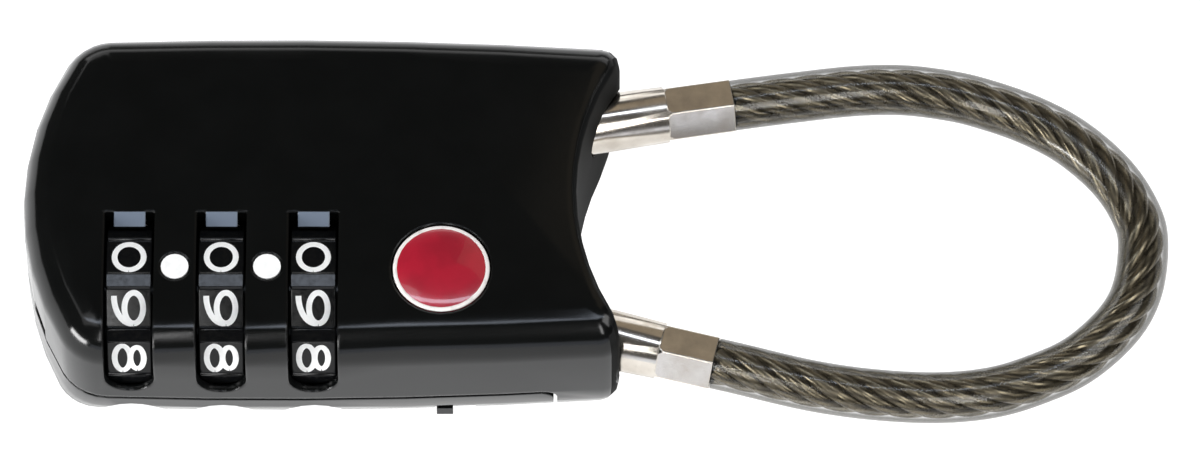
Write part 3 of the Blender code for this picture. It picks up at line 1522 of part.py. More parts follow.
def cover_cutters():
    """Make the openings of the back cover: finger scallops and the reset tab's way.

    Returns:
        The cutters.
    """
    tools = []
    normal = Vector((0, -math.cos(VIEW_TILT), -math.sin(VIEW_TILT)))
    tangent = Vector((0, math.sin(VIEW_TILT), -math.cos(VIEW_TILT)))
    for i, x in enumerate(DIAL_X):
        drop = (x - SIDE_PEAK_X) ** 2 / (2 * SIDE_RADIUS)
        centre = Vector((x, -(BODY_WIDTH / 2 - drop - BACK_ROUND_SIDE), BACK_ROUND_SIDE))
        axis = centre + normal * (BACK_ROUND_SIDE + SCALLOP_RADIUS - SCALLOP_DEPTH)
        tools.append(rod(f"scallop_cut_{i + 1}", axis - tangent * SCALLOP_HALF_LENGTH,
                         axis + tangent * SCALLOP_HALF_LENGTH,
                         SCALLOP_RADIUS, 48))
    z = AXIS_Z - RESET_DROP
    surface = reset_surface_y()
    wide = RESET_TAB_WIDTH / 2 + SEAT_GAP
    long = RESET_PLATE_LENGTH / 2 + SEAT_GAP
    half = RESET_THICKNESS / 2 + SEAT_GAP
    inner = surface + RESET_WALL - SEAT_GAP
    tools.append(box("reset_slot_cut", (RESET_X - wide, surface - 2 * OVERCUT, z - half),
                     (RESET_X + wide + RESET_TRAVEL, inner + OVERCUT, z + half)))
    deep = inner + RESET_PLATE_WIDTH + 2 * SEAT_GAP
    tools.append(box("reset_pocket_cut", (RESET_X - long, inner, z - half),
                     (RESET_X + long + RESET_TRAVEL, deep, AXIS_Z + OVERCUT)))
    return tools


def make_housing():
    """Make the two halves of the housing from one outside form."""
    front = body_solid("front_housing")
    back = body_solid("back_cover")
    combine(front, cover_region("front_parting", PARTING_GAP / 2))
    combine(back, cover_region("back_parting", -PARTING_GAP / 2), "INTERSECT")
    for cutter in shared_cutters():
        combine(front, cutter)
        combine(back, cutter)
    for cutter in window_cutters():
        combine(front, cutter)
    for cutter in cover_cutters():
        combine(back, cutter)
    settle(front)
    settle(back)
    paint(front, BLACK_PAINT)
    paint(back, BLACK_PAINT)


def main():
    """Build the lock."""
    start_scene()
    make_housing()
    make_dials()
    make_hubs()
    make_spindle()
    make_springs()
    make_latch()
    make_key_cylinder()
    make_cover_pins()
    make_ferrules()
    make_cable()
    make_marks()
    make_reset_tab()
    for obj in list(bpy.data.collections[CUTTERS].objects):
        bpy.data.objects.remove(obj)


main()
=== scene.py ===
"""Studio picture of a three-dial cable luggage lock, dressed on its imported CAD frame."""

from __future__ import annotations

import json
import logging
import math
from collections.abc import Sequence
from dataclasses import dataclass, field
from enum import Enum

import bmesh
import bpy
from mathutils import Matrix, Vector

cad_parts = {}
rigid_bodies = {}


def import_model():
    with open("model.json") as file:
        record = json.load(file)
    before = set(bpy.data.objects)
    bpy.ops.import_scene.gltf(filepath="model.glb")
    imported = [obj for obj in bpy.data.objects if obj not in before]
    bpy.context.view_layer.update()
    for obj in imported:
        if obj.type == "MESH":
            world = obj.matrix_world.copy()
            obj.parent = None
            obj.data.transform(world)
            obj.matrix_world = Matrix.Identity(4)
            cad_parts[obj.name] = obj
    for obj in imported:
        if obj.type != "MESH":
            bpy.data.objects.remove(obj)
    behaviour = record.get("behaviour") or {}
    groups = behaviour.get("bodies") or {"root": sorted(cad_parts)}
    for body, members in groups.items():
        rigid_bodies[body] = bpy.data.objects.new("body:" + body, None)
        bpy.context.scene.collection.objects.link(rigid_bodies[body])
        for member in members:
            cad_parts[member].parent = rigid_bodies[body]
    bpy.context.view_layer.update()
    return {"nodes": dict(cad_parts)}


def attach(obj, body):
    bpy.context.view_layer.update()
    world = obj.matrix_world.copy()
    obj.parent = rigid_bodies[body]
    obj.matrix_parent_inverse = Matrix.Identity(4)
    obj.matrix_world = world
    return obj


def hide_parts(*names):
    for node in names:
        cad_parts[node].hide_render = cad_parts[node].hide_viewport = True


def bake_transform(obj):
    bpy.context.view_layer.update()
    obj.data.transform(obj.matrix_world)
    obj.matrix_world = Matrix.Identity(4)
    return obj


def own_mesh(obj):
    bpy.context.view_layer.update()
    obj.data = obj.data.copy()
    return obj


log = logging.getLogger("cable_lock")

MM = 0.001

# Sizes that several pieces share with the CAD.
AXIS_Z = 8.3 * MM
DIAL_COUNT = 3
DIAL_MIDDLE_X = -7.84 * MM
DIAL_PITCH = 7.3 * MM

# Shading and mesh values that several pieces share.
EDGE_SAMPLES = 6
RELIEF_DEPTH = 0.02 * MM
CLEAR_IOR = 1.5
SMOOTH_DEG = 35.0
WELD = 1e-6
LEVEL_LIMIT = 0.9

# Places of the Mix node's sockets, which share their names between its data types.
MIX_FACTOR = 0
MIX_LOW, MIX_HIGH, MIX_RESULT = 2, 3, 0
MIX_LOW_COLOUR, MIX_HIGH_COLOUR, MIX_RESULT_COLOUR = 6, 7, 2

Colour = tuple[float, float, float, float]
Span = tuple[float, float]


class Body(str, Enum):
    """Names of the frame's bodies that pieces ride on."""

    HOUSING = "housing"
    FREE_END = "free_end"


def hex_to_linear(code: str) -> Colour:
    """Turn an sRGB hex colour into linear RGBA.

    Args:
        code: Colour such as "#a0b1c2".

    Returns:
        The linear red, green, blue and an alpha of one.
    """
    values = [int(code[i:i + 2], 16) / 255 for i in (1, 3, 5)]
    linear = [v / 12.92 if v <= 0.04045 else ((v + 0.055) / 1.055) ** 2.4 for v in values]
    return (linear[0], linear[1], linear[2], 1.0)


def grey(level: float) -> Colour:
    """Make a linear grey.

    Args:
        level: Brightness from nought to one.

    Returns:
        The RGBA value.
    """
    return (level, level, level, 1.0)


def add_node(
    tree: bpy.types.NodeTree,
    kind: str,
    settings: dict[str, object] | None = None,
    values: dict[str | int, object] | None = None,
    links: dict[str | int, bpy.types.NodeSocket] | None = None,
) -> bpy.types.Node:
    """Add one node with its settings, socket values and incoming links.

    Args:
        tree: Node tree that gets the node.
        kind: Node type, such as "ShaderNodeTexNoise".
        settings: Attributes of the node.
        values: Input sockets and the values they keep.
        links: Input sockets and the output sockets that feed them.

    Returns:
        The new node.
    """
    node = tree.nodes.new(kind)
    for name, value in (settings or {}).items():
        setattr(node, name, value)
    for name, value in (values or {}).items():
        node.inputs[name].default_value = value
    for name, socket in (links or {}).items():
        tree.links.new(socket, node.inputs[name])
    return node


def ramp(
    tree: bpy.types.NodeTree,
    factor: bpy.types.NodeSocket,
    stops: Sequence[float],
    colours: Sequence[Colour],
) -> bpy.types.NodeSocket:
    """Add a colour ramp.

    Args:
        tree: Node tree that gets the ramp.
        factor: Socket that drives it.
        stops: Positions on the ramp.
        colours: Linear colours at the stops.

    Returns:
        The ramp's colour socket.
    """
    node = add_node(tree, "ShaderNodeValToRGB", links={"Fac": factor})
    elements = node.color_ramp.elements
    while len(elements) < len(stops):
        elements.new(0.5)
    for element, position, colour in zip(elements, stops, colours):
        element.position = position
        element.color = colour
    return node.outputs["Color"]


def noise(
    tree: bpy.types.NodeTree, place: bpy.types.NodeSocket, size: float, detail: float
) -> bpy.types.NodeSocket:
    """Add a noise of one grain size.

    Args:
        tree: Node tree that gets the noise.
        place: Socket of the coordinates.
        size: Size of the grain.
        detail: Octaves of finer grain.

    Returns:
        The noise's factor socket.
    """
    node = add_node(tree, "ShaderNodeTexNoise", values={"Scale": 1 / size, "Detail": detail},
                    links={"Vector": place})
    return node.outputs["Fac"]


def compute(
    tree: bpy.types.NodeTree,
    operation: str,
    values: dict[int, float],
    links: dict[int, bpy.types.NodeSocket],
) -> bpy.types.NodeSocket:
    """Add one math node.

    Args:
        tree: Node tree that gets the node.
        operation: Name of the sum.
        values: Inputs that are plain numbers.
        links: Inputs that nodes drive.

    Returns:
        The result's socket.
    """
    return add_node(tree, "ShaderNodeMath", {"operation": operation}, values, links).outputs["Value"]


def split(tree: bpy.types.NodeTree, vector: bpy.types.NodeSocket) -> bpy.types.NodeOutputs:
    """Split a vector into its parts.

    Args:
        tree: Node tree that gets the node.
        vector: Socket of the vector.

    Returns:
        The sockets X, Y and Z.
    """
    return add_node(tree, "ShaderNodeSeparateXYZ", links={"Vector": vector}).outputs


def relief(
    tree: bpy.types.NodeTree,
    height: bpy.types.NodeSocket,
    strength: float,
    depth: float = RELIEF_DEPTH,
    edge: float | None = None,
) -> bpy.types.NodeSocket:
    """Add a fine relief, on rounded edges where a radius is given.

    Args:
        tree: Node tree that gets the nodes.
        height: Socket of the relief.
        strength: How much of it shows.
        depth: Height of the relief.
        edge: Radius of the edges.

    Returns:
        The socket of the normal.
    """
    links = {"Height": height}
    if edge is not None:
        bevel = add_node(tree, "ShaderNodeBevel", {"samples": EDGE_SAMPLES}, {"Radius": edge})
        links["Normal"] = bevel.outputs["Normal"]
    bump = add_node(tree, "ShaderNodeBump", values={"Strength": strength, "Distance": depth}, links=links)
    return bump.outputs["Normal"]


def new_material(name: str) -> tuple[bpy.types.Material, bpy.types.NodeTree, bpy.types.NodeSocket]:
    """Make a node material that holds only its coordinates.

    Args:
        name: Name of the real material.

    Returns:
        The material, its node tree and the socket of the object's coordinates.
    """
    material = bpy.data.materials.new(name)
    material.use_nodes = True
    tree = material.node_tree
    tree.nodes.clear()
    return material, tree, add_node(tree, "ShaderNodeTexCoord").outputs["Object"]


def close_material(
    tree: bpy.types.NodeTree,
    values: dict[str, object],
    links: dict[str, bpy.types.NodeSocket],
) -> None:
    """End a material in one Principled shader.

    Args:
        tree: The material's node tree.
        values: Plain values of the shader's sockets.
        links: Sockets that nodes drive.
    """
    shader = add_node(tree, "ShaderNodeBsdfPrincipled", values=values, links=links)
    add_node(tree, "ShaderNodeOutputMaterial", links={"Surface": shader.outputs["BSDF"]})


@dataclass(frozen=True)
class SatinPaint:
    """Black stoving paint on die-cast zinc, dull in the hollow end, with a painted blue-grey highlight on
    the window ramps.
    """

    name: str = "black_painted_zinc"
    colour: str = "#070808"
    worn: str = "#0a0b0b"
    worn_span: Span = (0.35, 0.75)
    # Painted highlight: a blue-grey that stands in for the light caught by the ramps at the window tops.
    painted_highlight: str = "#67717f"
    painted_highlight_y: Span = (-3.4 * MM, -2.15 * MM)
    painted_highlight_lean: float = -0.4
    lean_reach: float = 0.15
    roughness: float = 0.14
    hollow_roughness: float = 0.7
    gloss: float = 0.33
    hollow_gloss: float = 0.06
    hollow_span: Span = (0.45, 0.75)
    mottle: float = 4.0 * MM
    mottle_detail: float = 4.0
    peel: float = 0.3 * MM
    peel_detail: float = 2.0
    peel_strength: float = 0.06
    edge: float = 0.3 * MM

    def painted_highlight_mask(self, tree: bpy.types.NodeTree, place: bpy.types.NodeSocket) -> bpy.types.NodeSocket:
        """Find the ramps at the tops of the dial windows by their place and their lean, where the highlight
        is painted.

        Args:
            tree: The material's node tree.
            place: Socket of the object's coordinates.

        Returns:
            A socket that is one on the ramps and nought elsewhere.
        """
        middle = (self.painted_highlight_y[0] + self.painted_highlight_y[1]) / 2
        reach = (self.painted_highlight_y[1] - self.painted_highlight_y[0]) / 2
        near = compute(tree, "COMPARE", {1: middle, 2: reach}, {0: split(tree, place)["Y"]})
        flat = split(tree, add_node(tree, "ShaderNodeNewGeometry").outputs["True Normal"])
        lean = compute(tree, "COMPARE", {1: self.painted_highlight_lean, 2: self.lean_reach}, {0: flat["Y"]})
        return compute(tree, "MULTIPLY", {}, {0: near, 1: lean})

    def build(self) -> bpy.types.Material:
        """Build the material.

        Returns:
            The material.
        """
        material, tree, place = new_material(self.name)
        facing = split(tree, add_node(tree, "ShaderNodeTexCoord").outputs["Normal"])
        hollow = ramp(tree, facing["X"], self.hollow_span, (grey(0.0), grey(1.0)))
        mottle = noise(tree, place, self.mottle, self.mottle_detail)
        skin = ramp(tree, mottle, self.worn_span, (hex_to_linear(self.colour), hex_to_linear(self.worn)))
        # Paints the blue-grey highlight onto the window ramps.
        colour = add_node(tree, "ShaderNodeMix", {"data_type": "RGBA"},
                          {MIX_HIGH_COLOUR: hex_to_linear(self.painted_highlight)},
                          {MIX_FACTOR: self.painted_highlight_mask(tree, place), MIX_LOW_COLOUR: skin})
        rough = add_node(tree, "ShaderNodeMix", {"data_type": "FLOAT"},
                         {MIX_LOW: self.roughness, MIX_HIGH: self.hollow_roughness}, {MIX_FACTOR: hollow})
        gloss = add_node(tree, "ShaderNodeMix", {"data_type": "FLOAT"},
                         {MIX_LOW: self.gloss, MIX_HIGH: self.hollow_gloss}, {MIX_FACTOR: hollow})
        peel = noise(tree, place, self.peel, self.peel_detail)
        close_material(tree, {"IOR": CLEAR_IOR}, {
            "Base Color": colour.outputs[MIX_RESULT_COLOUR],
            "Roughness": rough.outputs[MIX_RESULT],
            "Specular IOR Level": gloss.outputs[MIX_RESULT],
            "Normal": relief(tree, peel, self.peel_strength, edge=self.edge),
        })
        return material


@dataclass(frozen=True)
class MouldedPlastic:
    """Black moulded plastic: smooth facets that mirror the soft boxes, with specks of dust."""

    name: str = "black_plastic"
    colour: str = "#0a0b0d"
    dust: str = "#131312"
    dust_span: Span = (0.4, 0.8)
    roughness: float = 0.13
    polished: float = 0.03
    dulled: float = 0.06
    rough_span: Span = (0.3, 0.7)
    gloss: float = 0.26
    speck: float = 0.35 * MM
    speck_detail: float = 3.0
    speck_strength: float = 0.04
    edge: float = 0.1 * MM

    def build(self) -> bpy.types.Material:
        """Build the material.

        Returns:
            The material.
        """
        material, tree, place = new_material(self.name)
        speck = noise(tree, place, self.speck, self.speck_detail)
        close_material(tree, {"IOR": CLEAR_IOR, "Specular IOR Level": self.gloss}, {
            "Base Color": ramp(tree, speck, self.dust_span,
                               (hex_to_linear(self.colour), hex_to_linear(self.dust))),
            "Roughness": ramp(tree, speck, self.rough_span,
                              (grey(self.roughness - self.polished), grey(self.roughness + self.dulled))),
            "Normal": relief(tree, speck, self.speck_strength, edge=self.edge),
        })
        return material


@dataclass(frozen=True)
class PrintInk:
    """White printing ink and filled paint: flat white with a faint uneven film."""

    name: str = "white_ink"
    colour: str = "#f6f6f4"
    thin: str = "#eeeeec"
    thin_span: Span = (0.3, 0.5)
    film: float = 0.6 * MM
    film_detail: float = 3.0
    roughness: float = 0.45

    def build(self) -> bpy.types.Material:
        """Build the material.

        Returns:
            The material.
        """
        material, tree, place = new_material(self.name)
        film = noise(tree, place, self.film, self.film_detail)
        colour = ramp(tree, film, self.thin_span, (hex_to_linear(self.thin), hex_to_linear(self.colour)))
        close_material(tree, {"Roughness": self.roughness}, {"Base Color": colour})
        return material


@dataclass(frozen=True)
class TurnedMetal:
    """Turned or plated metal: fine tool marks and a little tarnish that breaks up the reflections."""

    name: str
    colour: str
    tarnish: str
    roughness: float
    polished: float = 0.04
    dulled: float = 0.08
    tarnish_span: Span = (0.35, 0.65)
    rough_span: Span = (0.3, 0.7)
    cloud: float = 2.5 * MM
    cloud_detail: float = 5.0
    marks: float = 0.12 * MM
    marks_detail: float = 2.0
    marks_strength: float = 0.06
    edge: float = 0.12 * MM

    def build(self) -> bpy.types.Material:
        """Build the material.

        Returns:
            The material.
        """
        material, tree, place = new_material(self.name)
        cloud = noise(tree, place, self.cloud, self.cloud_detail)
        marks = noise(tree, place, self.marks, self.marks_detail)
        close_material(tree, {"Metallic": 1.0}, {
            "Base Color": ramp(tree, cloud, self.tarnish_span,
                               (hex_to_linear(self.tarnish), hex_to_linear(self.colour))),
            "Roughness": ramp(tree, cloud, self.rough_span,
                              (grey(self.roughness + self.dulled), grey(self.roughness - self.polished))),
            "Normal": relief(tree, marks, self.marks_strength, edge=self.edge),
        })
        return material


@dataclass(frozen=True)
class StrandWire:
    """Drawn steel wire in a strand, laid along the strand: painted highlights on the wire crests and painted
    shade in the grooves between the wires.
    """

    name: str = "galvanised_wire_strand"
    # Painted highlight on the wire crests, the steel's own tone, and painted shade in the grooves between
    # the wires.
    crest_highlight: str = "#6f6755"
    middle: str = "#5d5646"
    groove_shade: str = "#423b2e"
    wire_stops: tuple[float, float, float] = (0.0, 0.2, 0.5)
    wires: int = 7
    fold: float = 0.5
    twist: float = 0.11
    wire_strength: float = 0.1
    wire_depth: float = 0.05 * MM
    patch: float = 0.9 * MM
    patch_detail: float = 3.0
    patch_grey: float = 0.55
    patch_span: Span = (0.3, 0.65)
    patch_weight: float = 0.8
    roughness: float = 0.24
    polished: float = 0.08
    dulled: float = 0.15
    rough_span: Span = (0.3, 0.7)
    metallic: float = 0.85

    def build(self) -> bpy.types.Material:
        """Build the material.

        Returns:
            The material.
        """
        material, tree, place = new_material(self.name)
        lay = split(tree, add_node(tree, "ShaderNodeUVMap", {"uv_map": "lay"}).outputs["UV"])
        slant = compute(tree, "MULTIPLY_ADD", {1: self.twist}, {0: lay["Y"], 2: lay["X"]})
        phase = compute(tree, "MULTIPLY", {1: float(self.wires)}, {0: slant})
        fold = compute(tree, "PINGPONG", {1: self.fold}, {0: phase})
        patch = noise(tree, place, self.patch, self.patch_detail)
        # Paints shade into the grooves and highlights onto the crests of the wires.
        wires = ramp(tree, fold, self.wire_stops,
                     [hex_to_linear(code) for code in (self.groove_shade, self.middle, self.crest_highlight)])
        dull = ramp(tree, patch, self.patch_span, (grey(self.patch_grey), grey(1.0)))
        colour = add_node(tree, "ShaderNodeMix", {"data_type": "RGBA", "blend_type": "MULTIPLY"},
                          {MIX_FACTOR: self.patch_weight}, {MIX_LOW_COLOUR: wires, MIX_HIGH_COLOUR: dull})
        close_material(tree, {"Metallic": self.metallic}, {
            "Base Color": colour.outputs[MIX_RESULT_COLOUR],
            "Roughness": ramp(tree, patch, self.rough_span,
                              (grey(self.roughness + self.dulled), grey(self.roughness - self.polished))),
            "Normal": relief(tree, fold, self.wire_strength, self.wire_depth),
        })
        return material


@dataclass(frozen=True)
class ClearSleeve:
    """Clear PVC sleeve: nearly unseen from the front, grey and glassy along both edges."""

    name: str = "clear_pvc"
    colour: str = "#fbfaf6"
    rim: str = "#55534c"
    rim_span: Span = (0.24, 0.36)
    film_stops: tuple[float, float, float, float] = (0.24, 0.36, 0.5, 1.0)
    film_cover: tuple[float, float, float, float] = (0.03, 0.3, 0.66, 0.9)
    slope_blend: float = 0.5
    wave: float = 3.0 * MM
    wave_detail: float = 1.0
    wave_strength: float = 0.25
    wave_depth: float = 0.1 * MM
    roughness: float = 0.18

    def build(self) -> bpy.types.Material:
        """Build the material.

        Returns:
            The material.
        """
        material, tree, place = new_material(self.name)
        wave = noise(tree, place, self.wave, self.wave_detail)
        slope = add_node(tree, "ShaderNodeLayerWeight", values={"Blend": self.slope_blend}).outputs["Facing"]
        close_material(tree, {"Roughness": self.roughness, "IOR": CLEAR_IOR}, {
            "Base Color": ramp(tree, slope, self.rim_span,
                               (hex_to_linear(self.colour), hex_to_linear(self.rim))),
            "Alpha": ramp(tree, slope, self.film_stops, [grey(level) for level in self.film_cover]),
            "Metallic": ramp(tree, slope, self.rim_span, (grey(1.0), grey(0.0))),
            "Normal": relief(tree, wave, self.wave_strength, self.wave_depth),
        })
        return material


@dataclass(frozen=True)
class Enamel:
    """Red enamel under a clear dome: deep colour with one clean gloss."""

    name: str = "red_enamel"
    colour: str = "#a5112a"
    deep: str = "#960f26"
    deep_span: Span = (0.35, 0.6)
    cloud: float = 2.2 * MM
    cloud_detail: float = 3.0
    roughness: float = 0.25
    coat_roughness: float = 0.03

    def build(self) -> bpy.types.Material:
        """Build the material.

        Returns:
            The material.
        """
        material, tree, place = new_material(self.name)
        cloud = noise(tree, place, self.cloud, self.cloud_detail)
        colour = ramp(tree, cloud, self.deep_span, (hex_to_linear(self.deep), hex_to_linear(self.colour)))
        values = {"Roughness": self.roughness, "Coat Weight": 1.0, "Coat Roughness": self.coat_roughness}
        close_material(tree, values, {"Base Color": colour})
        return material


@dataclass(frozen=True)
class PaleFloor:
    """Opal white light table under the lock, which keeps its shadow faint."""

    name: str = "opal_sweep"
    colour: str = "#c4c4c4"
    shade: str = "#bfbfbf"
    shade_span: Span = (0.3, 0.7)
    cloud: float = 125.0 * MM
    cloud_detail: float = 2.0
    roughness: float = 0.8
    gloss: float = 0.1
    glow: float = 0.86

    def build(self) -> bpy.types.Material:
        """Build the material.

        Returns:
            The material.
        """
        material, tree, place = new_material(self.name)
        cloud = noise(tree, place, self.cloud, self.cloud_detail)
        colour = ramp(tree, cloud, self.shade_span, (hex_to_linear(self.shade), hex_to_linear(self.colour)))
        values = {"Roughness": self.roughness, "Specular IOR Level": self.gloss,
                  "Emission Color": grey(1.0), "Emission Strength": self.glow}
        close_material(tree, values, {"Base Color": colour})
        return material


@dataclass
class Palette:
    """All finishes of the lock, built once."""

    paint: bpy.types.Material = field(init=False)
    plastic: bpy.types.Material = field(init=False)
    ink: bpy.types.Material = field(init=False)
    nickel: bpy.types.Material = field(init=False)
    steel: bpy.types.Material = field(init=False)
    spring: bpy.types.Material = field(init=False)
    brass: bpy.types.Material = field(init=False)
    strand: bpy.types.Material = field(init=False)
    sleeve: bpy.types.Material = field(init=False)
    enamel: bpy.types.Material = field(init=False)
    rim: bpy.types.Material = field(init=False)

    def __post_init__(self) -> None:
        """Build every finish."""
        self.paint = SatinPaint().build()
        self.plastic = MouldedPlastic().build()
        self.ink = PrintInk().build()
        self.nickel = TurnedMetal("nickel_plated_steel", "#d0cac1", "#bab2a7", 0.16).build()
        self.steel = TurnedMetal("steel", "#a8a8aa", "#7e7e80", 0.32).build()
        self.spring = TurnedMetal("spring_steel", "#b4b4b8", "#8a8a8c", 0.28).build()
        self.brass = TurnedMetal("brass", "#c9a65a", "#9a7a38", 0.3).build()
        self.strand = StrandWire().build()
        self.sleeve = ClearSleeve().build()
        self.enamel = Enamel().build()
        self.rim = PrintInk("pale_enamel_rim", "#e9e4e0", "#d2ccc8").build()

    def for_slot(self, slot: str) -> bpy.types.Material:
        """Find the finish for one of the frame's material slots.

        Args:
            slot: Name of the slot.

        Returns:
            The finish.
        """
        table = {
            "black_painted_zinc": self.paint, "black_plastic": self.plastic, "steel": self.steel,
            "spring_steel": self.spring, "brass": self.brass, "nickel_plated_steel": self.nickel,
            "clear_pvc": self.sleeve, "white_plastic": self.ink, "red_enamel": self.enamel,
        }
        return table[slot]


def link_mesh(name: str, form: bmesh.types.BMesh, material: bpy.types.Material) -> bpy.types.Object:
    """Turn a bmesh into a linked, smooth object.

    Args:
        name: Name of the piece.
        form: The mesh, which is freed.
        material: Its finish.

    Returns:
        The object.
    """
    mesh = bpy.data.meshes.new(name)
    bmesh.ops.recalc_face_normals(form, faces=form.faces)
    form.to_mesh(mesh)
    form.free()
    mesh.shade_smooth()
    mesh.set_sharp_from_angle(angle=math.radians(SMOOTH_DEG))
    mesh.materials.append(material)
    obj = bpy.data.objects.new(name, mesh)
    bpy.context.scene.collection.objects.link(obj)
    return obj


def square_axes(direction: Vector) -> tuple[Vector, Vector]:
    """Find two axes square to a direction.

    Args:
        direction: Unit vector.

    Returns:
        Two unit vectors square to it and to each other.
    """
    helper = Vector((0, 0, 1)) if abs(direction.z) < LEVEL_LIMIT else Vector((0, 1, 0))
    side = helper.cross(direction).normalized()
    return side, direction.cross(side)


def circle(centre: Vector, axes: tuple[Vector, Vector], radius: float, sides: int) -> list[Vector]:
    """List the corners of a many-sided ring.

    Args:
        centre: Its middle.
        axes: Two square axes of its plane.
        radius: Distance of the corners.
        sides: Number of corners.

    Returns:
        The corners.
    """
    side, up = axes
    turns = [2 * math.pi * k / sides for k in range(sides)]
    return [centre + (side * math.cos(a) + up * math.sin(a)) * radius for a in turns]


def smooth_line(points: list[Vector], steps: int) -> list[Vector]:
    """Draw a smooth line through points.

    Args:
        points: The points.
        steps: Chords between two points.

    Returns:
        The points of the line.
    """
    line: list[Vector] = []
    for i in range(len(points) - 1):
        before = points[max(i - 1, 0)]
        first, second = points[i], points[i + 1]
        after = points[min(i + 2, len(points) - 1)]
        for k in range(steps):
            t = k / steps
            line.append(0.5 * (2 * first + (second - before) * t
                               + (2 * before - 5 * first + 4 * second - after) * t * t
                               + (3 * first - before - 3 * second + after) * t * t * t))
    line.append(points[-1])
    return line


def even_line(points: list[Vector], pitch: float) -> list[Vector]:
    """Walk along a line in equal steps.

    Args:
        points: The line.
        pitch: Wished length of a step.

    Returns:
        Points at equal distances, both ends included.
    """
    lengths = [0.0]
    for a, b in zip(points, points[1:]):
        lengths.append(lengths[-1] + (b - a).length)
    count = max(2, round(lengths[-1] / pitch))
    result = []
    at = 0
    for k in range(count + 1):
        want = lengths[-1] * k / count
        while at < len(points) - 2 and lengths[at + 1] < want:
            at += 1
        span = lengths[at + 1] - lengths[at]
        t = (want - lengths[at]) / span if span else 0.0
        result.append(points[at].lerp(points[at + 1], t))
    return result


def carried_axes(line: list[Vector]) -> list[tuple[Vector, Vector]]:
    """Carry two square axes along a line without twisting them.

    Args:
        line: Points of the line.

    Returns:
        Two unit vectors for each point.
    """
    axes = []
    normal: Vector | None = None
    for i in range(len(line)):
        tangent = (line[min(i + 1, len(line) - 1)] - line[max(i - 1, 0)]).normalized()
        if normal is None:
            normal = square_axes(tangent)[0]
        normal = (normal - tangent * normal.dot(tangent)).normalized()
        axes.append((normal, tangent.cross(normal)))
    return axes


